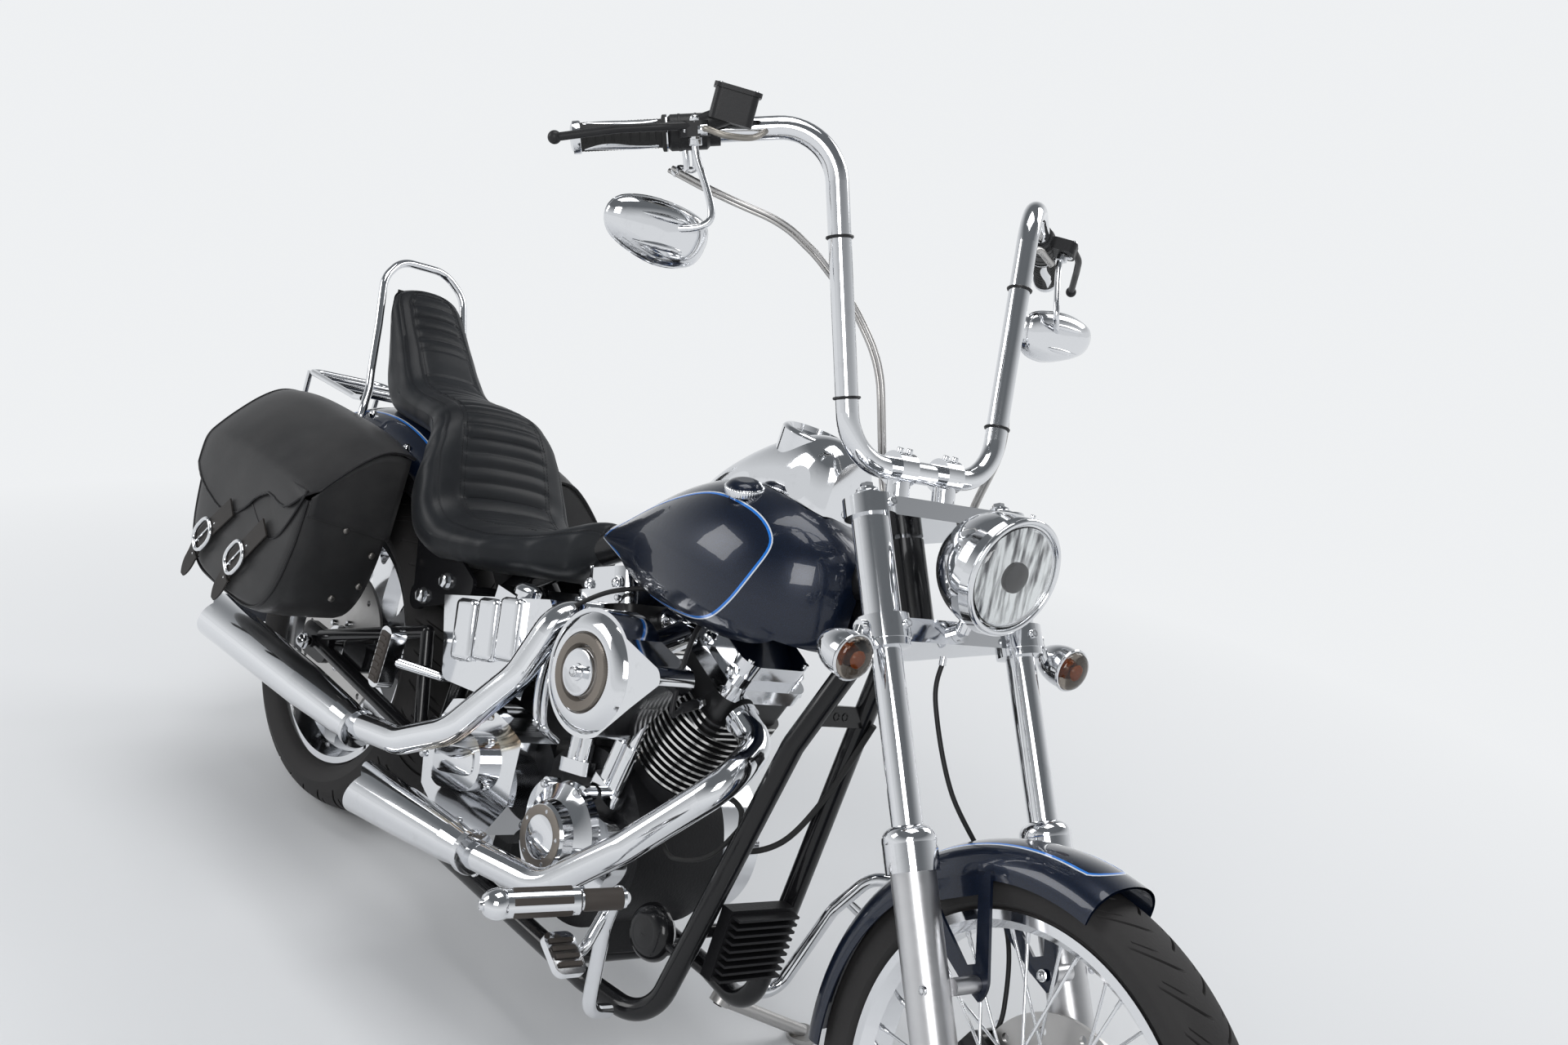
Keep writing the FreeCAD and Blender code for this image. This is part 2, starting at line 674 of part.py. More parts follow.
# Cables clipped along the bar, with a guide block at each clamp
cables = []
cableGuide = onFork(clampTop + 0.3, -67, -34)
for index, spread in enumerate((0, 1)):
    drop = forkAhead * 8 * spread
    cables.append(bentTube("ThrottleCable%d" % index, "throttleCable", [
        Vector(944, -361, 1366) + drop, Vector(1018, -326, 1350) + drop, Vector(1075, -252, 1338) + drop,
        Vector(1090, -196, 1309) + drop, Vector(1106, -128, 1262) + drop, Vector(1150, -86, 1192) + drop,
        Vector(1174, -72, 1110) + drop, cableGuide + forkUp * 60 + drop, cableGuide + drop], 200))
clutchFoot = onFork(size("lowerClampPlace") + size("lowerClampDepth") + 0.3, -28, 80)
cables.append(bentTube("ClutchCable", "clutchCable", [
    (1000, 352, 1396), (992, 309, 1420), (1040, 257, 1336), (1106, 214, 1229), (1174, 180, 1114),
    onFork(830, -56, 122), onFork(752, -50, 98), clutchFoot + forkUp * 40, clutchFoot], 200))
node("control_cables", together("ControlCables", cables))

# Headlamp and signals, carried on the lower clamp
lampCentre = Vector(1424, 0, 984)
lampBack = lampCentre - Vector(size("lampDepth"), 0, 0)
lampAim = Vector(1, 0, -0.04)
lampShell = turned("LampShell", [
    ("0", "0"), ("0", "24"), ("lampDepth * 0.3", "lampRadius * 0.78", "via"),
    ("lampDepth * 0.72", "lampRadius - 2"), ("lampDepth - 16", "lampRadius - 2"),
    ("lampDepth - 14", "lampRadius"), ("lampDepth", "lampRadius - 4"), ("lampDepth", "lensRadius"),
    ("lampDepth - 12", "lensRadius"), ("lampDepth - 12", "0"),
], lampBack, lampAim)
clampMiddle = size("lowerClampPlace") + size("lowerClampDepth") / 2
lampFoot = rod("LampFoot", "10", onFork(clampMiddle, 17), lampCentre - Vector(54, 0, 70))
lampPad = rod("LampPad", "14", onFork(clampMiddle, 8.3), onFork(clampMiddle, 18))
node("headlamp", joined("Headlamp", [lampShell, lampFoot, lampPad]))
node("headlamp_lens", turned("LampLens", [
    ("lampDepth - 12", "0"), ("lampDepth - 12", "lensRadius - 0.2"), ("lampDepth", "lensRadius - 0.2"),
    ("lampDepth + 9", "lensRadius * 0.6", "via"), ("lampDepth + 12", "6"), ("lampDepth + 12", "0"),
], lampBack, lampAim))
signalHalves = []
for sign in (1, -1):
    clampSide = onFork(clampMiddle, 0, sign * (size("forkHalfWidth") + size("forkCapRadius") + 0.3))
    spot = clampSide + Vector(42, sign * 46, -26)
    shell = turned("SignalShell" + hand(sign), [
        ("-62", "0"), ("-62", "9"), ("-40", "signalRadius * 0.8", "via"), ("-8", "signalRadius"),
        ("0", "signalRadius"), ("0", "0"),
    ], spot, (1, 0, 0))
    collar = rod("SignalCollar" + hand(sign), "10", clampSide, clampSide + left * sign * 10)
    stalk = rod("SignalStalk" + hand(sign), "7", clampSide + left * sign * 8, spot - Vector(26, sign * 20, 2))
    signalHalves.append(joined("Signal" + hand(sign), [shell, stalk, collar]))
node("front_signals", together("FrontSignals", signalHalves))

# Fenders: a crowned strip over each tyre; the front one hangs on a slotted plate each side


def fenderSection(inner, half, wall, depth):
    """A crowned channel seen along the wheel's rim."""
    top = inner + wall
    outer = [Vector(-half, inner - depth, 0), Vector(-half * 0.86, inner - depth * 0.35, 0),
             Vector(0, top, 0), Vector(half * 0.86, inner - depth * 0.35, 0), Vector(half, inner - depth, 0)]
    inside = [Vector(half - wall, inner - depth, 0), Vector(half * 0.82 - wall * 0.6, inner - depth * 0.4, 0),
              Vector(0, inner, 0), Vector(-half * 0.82 + wall * 0.6, inner - depth * 0.4, 0),
              Vector(-half + wall, inner - depth, 0)]
    crown, under = Part.BSplineCurve(), Part.BSplineCurve()
    crown.interpolate(outer)
    under.interpolate(inside)
    edges = [crown.toShape(), Part.LineSegment(outer[-1], inside[0]).toShape(),
             under.toShape(), Part.LineSegment(inside[-1], outer[0]).toShape()]
    return Part.Face(Part.Wire(edges))


def fender(name, inner, half, wall, depth, centre, first, last):
    """The fender's section swung about the axle from one angle to another, 0 pointing ahead."""
    section = doc.addObject("Part::Feature", name + "Section")
    section.Shape = fenderSection(inner, half, wall, depth)
    section.Placement = Placement(centre, Rotation(left, -first).multiply(
        Rotation(Vector(0, 1, 0), Vector(1, 0, 0), Vector(0, 0, -1), "XYZ")))
    sweep = doc.addObject("Part::Revolution", name)
    sweep.Source = section
    sweep.Base = centre
    sweep.Axis = Vector(0, -1, 0)
    sweep.Angle = last - first
    sweep.Solid = True
    return sweep


frontInner = size("frontTyreRadius") + size("frontFenderGap")
frontStrip = fender("FrontFenderStrip", frontInner, 62, size("fenderWall"), 46, frontAxle, 55, 190)
stays = []
for sign in (1, -1):
    stay = plate("FenderStay" + hand(sign), [
        ("-62", "322"), ("72", "322"), ("44", "196"), ("34", "176", "via"), ("22", "168"), ("-2", "196"),
        ("-30", "240")], "5", Placement(frontAxle + left * sign * 64.6, Rotation(forkAhead, forkUp, -left,
            "XYZ")))
    slot = plate("StaySlot" + hand(sign), [("-30", "296"), ("46", "296"), ("26", "214"), ("8", "214")], "20",
                 Placement(frontAxle + left * sign * 64.6, Rotation(forkAhead, forkUp, -left, "XYZ")))
    stays.append(cutAway("SlottedStay" + hand(sign), stay, slot))
node("front_fender", joined("FrontFender", [frontStrip] + stays))

caliperMiddle = onFork(78, -92, size("frontDiscPlace"))
caliperBody = roundedPlate("CaliperBody", "96", "64", "18", "46", Placement(
    caliperMiddle, Rotation(left, 62 - size("forkRake")).multiply(sideways)))
caliperLug = block("CaliperLug", "60", "22", "26", onFork(96, -44, size("forkHalfWidth") - 42),
                   Rotation(left, -size("forkRake")))
discSlot = rod("DiscSlot", "discRadius + 5", frontAxle + left * (size("frontDiscPlace") - 8),
               frontAxle + left * (size("frontDiscPlace") + 8))
node("front_caliper", cutAway("FrontCaliper", joined("CaliperSolid", [caliperBody, caliperLug]), discSlot))

# Frame: neck, backbone, twin downtubes that turn into the lower rails, and posts behind the gearbox
neckLow = onFork(size("lowerClampPlace") + size("lowerClampDepth") + 3, -size("forkOffset"))
neckHigh = onFork(size("upperClampPlace") - 3, -size("forkOffset"))
neckBack = (neckLow + neckHigh) / 2 - forkAhead * (size("neckRadius") - 4)
railHeight = size("crankHeight") - size("railDrop")
railHalf = size("railHalfWidth")
postHalf = size("postHalfWidth")
seatPost = fromCrank(-420, 0, 305)
pivot = fromCrank(-435, 0, -35)
neckTube = rod("NeckOuter", "neckRadius", neckLow, neckHigh)
neckBore = rod("NeckBore", "stemRadius + 0.5", neckLow - forkUp * 5, neckHigh + forkUp * 5)
backbonePoints = [neckBack, fromCrank(180, 0, 533), fromCrank(-130, 0, 477), fromCrank(-290, 0, 385),
    seatPost]
gusset = plate("NeckGusset", [
    ("%.3f" % neckBack.x, "%.3f" % neckBack.z), ("%.3f" % (neckBack.x - 110), "%.3f" % (neckBack.z - 14)),
    ("%.3f" % (neckBack.x - 24), "%.3f" % (neckBack.z - 84)),
], "10", Placement(Vector(), sideways))
frameTubes = [neckTube, bentTube("Backbone", "backboneRadius", backbonePoints, 120), gusset]
for sign in (1, -1):
    side = sign * railHalf
    frameTubes.append(bentTube("DownTube" + hand(sign), "frameTubeRadius", [
        neckLow + forkUp * 40 - forkAhead * 18 + left * sign * 14, (1190, sign * 62, 640),
        (1130, side * 0.8, railHeight), (1000, side, railHeight), fromCrank(-290, side, -size("railDrop")),
        fromCrank(-400, sign * postHalf, -size("railDrop")), pivot + left * sign * postHalf - Vector(0, 0,
            10),
        fromCrank(-420, sign * postHalf, 225), seatPost + Vector(0, sign * 14, -8)], 70))
    frameTubes.append(roundedPlate("PivotPlate" + hand(sign), "74", "84", "20", "22", Placement(
        pivot + left * sign * postHalf, sideways)))
    frameTubes.append(rod("StrutBoss" + hand(sign), "9", (428, sign * (postHalf - 6), 588),
                          (428, sign * (size("rearFenderHalf")), 588)))
engineRests = (80, -215)
for index, along in enumerate(engineRests):
    frameTubes.append(rod("EngineRest%d" % index, "frameTubeRadius - 3", fromCrank(along, -railHalf,
        -size("railDrop")),
                          fromCrank(along, railHalf, -size("railDrop"))))
regulatorBar = Vector(1151, 0, 330)
frameTubes.append(rod("RegulatorBar", "10", regulatorBar - left * 86, regulatorBar + left * 86))
frameTubes.append(rod("PostBar", "frameTubeRadius - 4", fromCrank(-418, -postHalf, 100), fromCrank(-418,
    postHalf, 100)))
frameTubes.append(turned("HornDome", [
    ("-16", "0"), ("-16", "30"), ("0", "44"), ("14", "40", "via"), ("22", "22"), ("24", "0")],
    (1066, -84, 283), (0, -1, 0)))
frameTubes.append(rod("HornBracket", "7", (1070, -84, 283), (1142, -94, 283)))
standAxis = Vector(-0.045, 0.369, 0.928).normalize()
standPivot = Vector(1030, railHalf + 20, railHeight - 40)
frameTubes.append(rod("StandPin", "8", standPivot - standAxis * 12, standPivot + standAxis * 16))
frameTubes.append(rod("StandLug", "17", standPivot + standAxis * 14.5, standPivot + standAxis * 22))
frameTubes.append(rod("StandArm", "8", standPivot + standAxis * 18.5, (1030, railHalf, railHeight)))
pivotBore = rod("PivotBore", "swingPivotRadius + 0.3", pivot - left * (postHalf + 20),
    pivot + left * (postHalf + 20))
node("frame", cutAway("Frame", joined("FrameSolid", frameTubes), together("FrameBores", [neckBore,
    pivotBore])))

# Rear fork: a braced triangle each side of the tyre, the left one outside the belt
swingTubes = []
for sign in (1, -1):
    reach = size("swingLeft") if sign > 0 else size("swingRight")
    outer = left * sign * reach
    knee = Vector(345, sign * reach, 480)
    swingTubes.append(rod("SwingLower" + hand(sign), "frameTubeRadius - 3", pivot + outer, rearAxle + outer))
    swingTubes.append(rod("SwingUpper" + hand(sign), "frameTubeRadius - 5", knee,
        rearAxle + outer + Vector(10, 0, 16)))
    swingTubes.append(rod("SwingPost" + hand(sign), "frameTubeRadius - 5", pivot + outer, knee))
    swingTubes.append(ball("SwingKnee" + hand(sign), "frameTubeRadius - 5", knee))
    swingTubes.append(roundedPlate("AxlePlate" + hand(sign), "104", "64", "24", "14",
                                   Placement(rearAxle + outer, sideways)))
    hubEnd = size("rearHubHalfLength") + (12.3 if sign > 0 else 0.3)
    swingTubes.append(rod("RearSpacer" + hand(sign), "axleRadius + 6", rearAxle + left * sign * hubEnd,
                          rearAxle + outer))
swingTubes.append(rod("SwingPivot", "swingPivotRadius", pivot - left * (size("swingRight") + 12),
                      pivot + left * (size("swingLeft") + 12)))
rearReach = (left * (size("swingRight") + 18), left * (size("swingLeft") + 15))
swingTubes.append(rod("RearAxleBar", "axleRadius", rearAxle - rearReach[0], rearAxle + rearReach[1]))
rearCaliper = roundedPlate("RearCaliper", "78", "60", "16", "62", Placement(
    Vector(124, -size("rearDiscPlace") - 13, rearAxle.z + 26), sideways))
rearSlot = rod("RearDiscSlot", "discRadius + 5", rearAxle - left * (size("rearDiscPlace") - 8),
               rearAxle - left * (size("rearDiscPlace") + 8))
swingTubes.append(cutAway("SlottedCaliper", rearCaliper, rearSlot))
rearBore = rod("RearAxleBore", "axleBore", rearAxle - rearReach[0] * 1.1, rearAxle + rearReach[1] * 1.1)
node("swingarm", cutAway("Swingarm", joined("SwingarmSolid", swingTubes), rearBore))

# Engine: two finned cylinders in a vee over a round crankcase, and the gear case behind
caseHalf = size("caseHalfWidth")
restTop = -size("railDrop") + size("frameTubeRadius") - 3 + 0.3
casing = [
    rod("CrankcaseCore", "142", crank - left * caseHalf, crank + left * caseHalf),
    roundedPlate("GearCase", "250", "190", "40", "2 * caseHalfWidth", Placement(fromCrank(-265, 0, -5),
        sideways)),
    rod("PulleyShaft", "16", (size("frontPulleyPlace"), caseHalf - 4, rearAxle.z),
        (size("frontPulleyPlace"), reading(beltFar), rearAxle.z)),
    rod("FrontPulley", "frontPulleyRadius", (size("frontPulleyPlace"), reading(beltNear), rearAxle.z),
        (size("frontPulleyPlace"), reading(beltFar), rearAxle.z)),
]
for index, along in enumerate(engineRests):
    casing.append(block("EngineFoot%d" % index, "50", "120", "60", fromCrank(along, 0, restTop + 30)))
stackTop = size("barrelStart") + 8 + size("finCount") * size("finPitch")
upwards = {}
for sign, name in ((1, "Front"), (-1, "Rear")):
    vee = math.radians(size("cylinderAngle")) * sign
    upwards[name] = (Vector(math.sin(vee), 0, math.cos(vee)), Rotation(left, math.degrees(vee)))
for name, (upward, turn) in upwards.items():
    casing.append(rod("CaseNeck" + name, "barrelRadius + 8", crank + upward * 60,
        crank + upward * size("barrelStart")))
node("engine_cases", joined("EngineCases", casing))

cylinders = []
rockers = []
for name, (upward, turn) in upwards.items():
    stack = [("barrelStart", "0"), ("barrelStart", "barrelRadius")]
    for fin in range(int(size("finCount"))):
        foot = "barrelStart + 8 + %d * finPitch" % fin
        stack += [(foot, "barrelRadius"), (foot, "finRadius"), (foot + " + finThickness", "finRadius"),
                  (foot + " + finThickness", "barrelRadius")]
    crown = "barrelStart + 8 + finCount * finPitch"
    stack += [(crown, "barrelRadius"), (crown, "0")]
    parts = [turned("Barrel" + name, stack, crank, upward),
             roundedPlate("HeadCore" + name, "128", "136", "16", "headLength", Placement(
                 crank + upward * (stackTop + size("headLength") / 2), turn))]
    for fin in range(int(size("headFinCount"))):
        above = stackTop + 3 + fin * size("finPitch")
        parts.append(roundedPlate("HeadFin%s%d" % (name, fin), "146", "156", "30", "finThickness",
                                  Placement(crank + upward * above, turn)))
    cylinders.append(joined("Cylinder" + name, parts))
    coverFoot = stackTop + size("headLength")
    cover = size("rockerHeight")
    lower = roundedPlate("RockerBase" + name, "136", "160", "26", "rockerHeight * 0.42",
                         Placement(crank + upward * (coverFoot + cover * 0.21), turn))
    upper = roundedPlate("RockerTop" + name, "112", "140", "30", "rockerHeight * 0.6",
                         Placement(crank + upward * (coverFoot + cover * 0.7), turn))
    rockers.append(joined("Rocker" + name, [lower, upper]))
node("cylinders", together("Cylinders", cylinders))
node("rocker_covers", together("RockerCovers", rockers))

pushrods = []
for sign, name in ((1, "Front"), (-1, "Rear")):
    parts = [roundedPlate("LifterBlock" + name, "70", "26", "8", "22", Placement(
        fromCrank(sign * 43, -caseHalf - 13.3, 98), Rotation(left, sign * 14)))]
    for step in (0, 1):
        foot = fromCrank(sign * (30 + 26 * step), -101, 100)
        run = fromCrank(sign * (58 + 28 * step), -101, 300) - foot
        parts.append(rod("Pushrod%s%d" % (name, step), "8", foot, foot + run))
        parts.append(rod("PushrodCup%s%d" % (name, step), "12", foot, foot + run * 0.4))
    pushrods.append(joined("Pushrods" + name, parts))
node("pushrod_tubes", together("PushrodTubes", pushrods))

# Air cleaner: a teardrop shell with a round insert, on an intake that forks to both heads
airPlate = Placement(Vector(0, -156, 0) + fromCrank(18, 0, 277), sideways)
tearPoints = [("60", "78"), ("-98", "0", "via"), ("60", "-78"), ("112", "-10"), ("156", "44"), ("150", "60",
    "via"),
              ("136", "66")]
airParts = [plate("AirShell", tearPoints, "68", airPlate)]
airParts.append(turned("AirDome", [
    ("0", "0"), ("0", "92"), ("9", "82", "via"), ("14", "64"), ("14", "62"), ("8", "62"), ("8", "40"), ("16",
        "36"),
    ("20", "22", "via"), ("20", "10"), ("20", "0"),
], fromCrank(18, -190, 277), (0, -1, 0)))
intake = fromCrank(0, 0, 352)
airParts.append(rod("IntakeNeck", "22", fromCrank(12, -124, 300), intake))
airParts.append(ball("IntakeMiddle", "26", intake))
for name, (upward, turn) in upwards.items():
    inward = turn.multVec(Vector(-1 if name == "Front" else 1, 0, 0))
    port = crank + upward * (stackTop + size("headLength") - 22) + inward * 64.3
    bend = port + inward * 21
    airParts += [rod("IntakeStub" + name, "15", port, bend), ball("IntakeBend" + name, "20", bend),
                 rod("IntakeArm" + name, "15", bend, intake)]
node("air_cleaner", joined("AirCleaner", airParts))

# Cam cover: a bossed plate, a cone and the round timer cover; the gearbox cover beside it
camPlate = plate("CamPlate", [
    ("-100", "10"), ("-84", "56", "via"), ("-40", "72"), ("92", "66"), ("124", "20", "via"), ("112", "-40"),
    ("40", "-92"), ("-40", "-96", "via"), ("-92", "-52")], "46", Placement(fromCrank(6, -caseHalf - 23, 0),
    sideways))
camNose = turned("CamNose", [
    ("0", "0"), ("0", "86"), ("14", "82"), ("24", "66", "via"), ("30", "58"), ("46", "54"), ("50", "50"),
    ("50", "40"), ("47", "38"), ("47", "0"),
], fromCrank(16, -caseHalf - 45, 6), (0, -1, 0))
camBosses = []
for index in range(6):
    swing = 2 * math.pi * index / 6 + 0.3
    spot = fromCrank(10 + 92 * math.cos(swing), -caseHalf - 30, 4 + 84 * math.sin(swing))
    camBosses.append(rod("CamBoss%d" % index, "11", spot, spot - left * 22))
node("cam_cover", joined("CamCover", [camPlate, camNose] + camBosses))
gearPlace = Placement(Vector(0, -caseHalf - 36, 0), sideways)
gearPlate = plate("GearboxPlate", [
    ("474", "331"), ("520", "424"), ("640", "452", "via"), ("728", "436"), ("740", "330"), ("701", "262"),
    ("600", "238", "via"), ("500", "262")], "72", gearPlace)
gearBulge = roundedPlate("GearboxBulge", "150", "96", "46", "26", Placement(
    Vector(598, -caseHalf - 80, 348), Rotation(left, -18).multiply(sideways)))
node("gearbox_cover", joined("GearboxCover", [gearPlate, gearBulge]))

# Primary cover: one long oval over the belt's front pulley and the crank's left end
coverFace = size("primaryFace")
coverFront = fromCrank(0, 0, 0)
coverRear = fromCrank(-280, 0, -17)
beltRoom = reading(beltFar) + 6
node("primary_cover", joined("PrimaryCover", [
    rod("PrimaryFront", "128", coverFront + left * caseHalf, coverFront + left * (coverFace - 14)),
    rod("PrimaryFrontDome", "112", coverFront + left * caseHalf, coverFront + left * coverFace),
    rod("PrimaryRear", "118", coverRear + left * beltRoom, coverRear + left * (coverFace - 14)),
    rod("PrimaryRearDome", "100", coverRear + left * beltRoom, coverRear + left * coverFace),
    plate("PrimaryMiddle", [("crankPlace - 280", "crankHeight - 135"), ("crankPlace", "crankHeight - 128"),
                            ("crankPlace", "crankHeight + 128"), ("crankPlace - 280", "crankHeight + 101")],
          "primaryFace - 14 - %.3f" % beltRoom, Placement(left * (coverFace - 14 + beltRoom) / 2, sideways)),
    plate("PrimaryRidge", [("crankPlace - 280", "crankHeight - 117"), ("crankPlace", "crankHeight - 112"),
                           ("crankPlace", "crankHeight + 112"), ("crankPlace - 280", "crankHeight + 83")],
          "20", Placement(left * (coverFace - 10), sideways)),
]))

# Oil tank: a horseshoe round the seat posts, ribbed on its sides
oilSide = [("392", "566"), ("676", "662"), ("692", "640", "via"), ("684", "616"), ("606", "476"),
           ("590", "458", "via"), ("568", "454"), ("470", "438"), ("452", "444", "via"), ("446", "458")]
oilParts = [block("OilTankMiddle", "150", "220", "150", (555, 0, 545))]
for sign in (1, -1):
    oilParts.append(plate("OilTankSide" + hand(sign), oilSide, "44", Placement(left * sign * 127, sideways)))
    for rib in range(6):
        place = 470 + 30 * rib
        oilParts.append(block("OilRib%s%d" % (hand(sign), rib), "12", "10", "96",
                              (place + 8, sign * 150, 528 + 12 * rib), Rotation(left, -16)))
oilParts.append(turned("OilFiller", [
    ("-30", "0"), ("-30", "17"), ("0", "17"), ("0", "23"), ("8", "23"), ("15", "16", "via"), ("17", "6"),
    ("17", "0"),
], (588, -128, 640), (0, 0, 1)))
oilRooms = [bentTube("OilTankRoom", "backboneRadius + 0.4", backbonePoints, 120)]
for sign in (1, -1):
    oilRooms.append(block("StrutEndRoom" + hand(sign), "80", "12", "90", (398, sign * 124.3, 582)))
    oilRooms.append(bentTube("PostRoom" + hand(sign), "frameTubeRadius + 0.5", [
        pivot + left * sign * postHalf, fromCrank(-420, sign * postHalf, 225), seatPost + Vector(0, sign * 14,
            -8)], 70))
node("oil_tank", cutAway("OilTank", joined("OilTankSolid", oilParts), together("OilTankRooms", oilRooms)))

# Exhaust: two pipes on the right, each ending in a hollow slash-cut megaphone


def muffler(name, start, end, tail):
    """A flared canister whose open end is cut at a slant."""
    start, end = Vector(*start), Vector(*end)
    shell = turned(name + "Shell", [
        ("0", "0"), ("0", "pipeRadius + 2"), ("60", "mufflerRadius * 0.72"), ("200", "mufflerRadius * 0.88"),
        (tail, "mufflerRadius"), (tail, "mufflerRadius - mufflerWall"), (tail + " - 90",
            "mufflerRadius * 0.8"),
        (tail + " - 90", "0"),
    ], start, end - start)
    slant = block(name + "Slant", "140", "140", "160", end + Vector(-62, 0, -20), Rotation(left, 18))
    return cutAway(name, shell, slant)


def headPort(name, forward):
    """The exhaust port's face on a head and the way out of it."""
    upward, turn = upwards[name]
    out = turn.multVec(forward)
    reach = 73.3 if forward.x else 80.3
    return crank + upward * (stackTop + size("headLength") - 22) + out * reach, out


port, portOut = headPort("Front", Vector(1, 0, 0))
port = port - left * 36
frontStart = Vector(756, -241, 272)
node("exhaust_front", joined("ExhaustFront", [
    rod("FrontPipeFlange", "pipeRadius + 3", port, port + portOut * 8),
    bentTube("FrontPipe", "pipeRadius", [
        port + portOut * 3, port + portOut * 60, (1140, -112, 560), (1040, -172, 410), (940, -214, 296),
        frontStart], 84),
    muffler("FrontMuffler", (796, -240, 277.2), (474, -250, 240), "324"),
]))
rearPort, rearOut = headPort("Rear", Vector(0, -1, 0))
node("exhaust_rear", joined("ExhaustRear", [
    rod("RearPipeFlange", "pipeRadius + 3", rearPort, rearPort + rearOut * 8),
    bentTube("RearPipe", "pipeRadius", [
        rearPort + rearOut * 2, rearPort + rearOut * 76, (700, -184, 540), (630, -228, 412), (520, -240, 345),
        (360, -240.6, 311)], 90),
    muffler("RearMuffler", (398, -240, 312), (-180, -250, 301), "578"),
]))

# Tank: teardrop over the backbone with a tunnel for the rocker covers, and a gauge console on top
tankSections = []
for along, half, low, high in ((322, 40, 455, 545), (290, 90, 422, 590), (230, 128, 403, 617), (140, 146, 389,
    627),
                               (30, 138, 387, 607), (-80, 108, 397, 545), (-170, 72, 407, 483), (-240, 32,
                                   409, 437)):
    place = crank.x + along
    low, high = crank.z + low, crank.z + high
    half = half * size("tankHalfWidth") / 146
    tall = high - low
    tankSections.append(ringOf([
        (place, 0, high), (place, -half * 0.7, high - tall * 0.1), (place, -half, low + tall * 0.5),
        (place, -half * 0.82, low + tall * 0.1), (place, 0, low + tall * 0.02),
        (place, half * 0.82, low + tall * 0.1), (place, half, low + tall * 0.5),
        (place, half * 0.7, high - tall * 0.1)]))
tankBody = lofted("TankBody", tankSections)
spine = bentTube("SpineRoom", "backboneRadius + 0.4", backbonePoints, 120)
veeAngle = math.radians(size("cylinderAngle"))
engineReach = stackTop + size("headLength") + size("rockerHeight")
rockerTop = engineReach * math.cos(veeAngle) + 70 * math.sin(veeAngle)
rockerRoom = block("RockerRoom", "660", "184", "240", fromCrank(10, 0,
    rockerTop + size("tankClearance") - 120))
neckRoom = rod("NeckRoom", "neckRadius + 14", neckLow - forkUp * 120, neckHigh + forkUp * 10)
tubeRooms = []
for sign in (1, -1):
    tubeRooms.append(rod("TubeRoom" + hand(sign), "frameTubeRadius + 6",
                         neckLow + forkUp * 40 - forkAhead * 18 + left * sign * 14, (1190, sign * 62, 640)))
consoleSections = []
for along, half, low, high in ((-70, 14, 540, 552), (10, 40, 560, 640), (90, 55, 580, 695), (150, 60, 590,
    722),
                               (210, 55, 590, 723), (235, 40, 590, 705)):
    place, low, high = crank.x + along, crank.z + low, crank.z + high
    tall = high - low
    consoleSections.append(ringOf([
        (place, 0, high), (place, -half * 0.72, high - tall * 0.1), (place, -half, low + tall * 0.4),
        (place, -half * 0.7, low), (place, half * 0.7, low), (place, half, low + tall * 0.4),
        (place, half * 0.72, high - tall * 0.1)]))
consoleBody = lofted("ConsoleBody", consoleSections)
gaugePod = turned("GaugePod", [
    ("-60", "0"), ("-60", "52"), ("0", "56"), ("5", "52", "via"), ("6", "47"), ("-2", "44"), ("-2", "0"),
], fromCrank(136, 0, 716), (0.1, 0, 1))
consoleHalves = ((-82, 15), (10, 41), (90, 56), (150, 61), (212, 56), (240, 40))


def consolePlan(name, margin):
    """The console's plan as an upright prism."""
    outer = [("crankPlace + %d" % along, "-%d - %s" % (half, margin)) for along, half in consoleHalves]
    outer += [("crankPlace + %d" % along, "%d + %s" % (half, margin)) for along,
        half in reversed(consoleHalves)]
    return plate(name, outer, "600", Placement(fromCrank(-crank.x, 0, 700), Rotation()))


def consoleFloor(name, gap):
    """Everything above the seat that the tank gives the console."""
    base = (("-100", "512"), ("10", "582"), ("140", "604"), ("260", "588"), ("260", "900"), ("-100", "900"))
    return plate(name, [("crankPlace + " + along, "crankHeight + %s + %s" % (above, gap)) for along,
        above in base],
                 "300", Placement(Vector(), sideways))


consoleSolid = joined("ConsoleSolid", [consoleBody, gaugePod])
node("tank_console", shared("TankConsole", [consoleSolid, consolePlan("ConsolePlan", "0"),
                                            consoleFloor("ConsoleFloor", "0.3")]))
consoleRoom = shared("ConsoleRoom", [consolePlan("ConsoleRoomPlan", "0.4"), consoleFloor("ConsoleRoomFloor",
    "0")])
gussetRoom = block("GussetRoom", "170", "22", "130", neckBack - Vector(50, 0, 36))
tankRooms = joined("TankRooms", [spine, rockerRoom, neckRoom, consoleRoom, gussetRoom] + tubeRooms)
tankSolid = cutAway("TankTunnelled", tankBody, tankRooms)
capStem = turned("FuelCap", [
    ("-40", "0"), ("-40", "22"), ("0", "22"), ("0", "28"), ("8", "28"), ("14", "22", "via"), ("17", "9"),
    ("17", "0"),
], fromCrank(114, -90, 612), (0, -0.28, 1))
node("fuel_tank", joined("FuelTank", [tankSolid, capStem]))

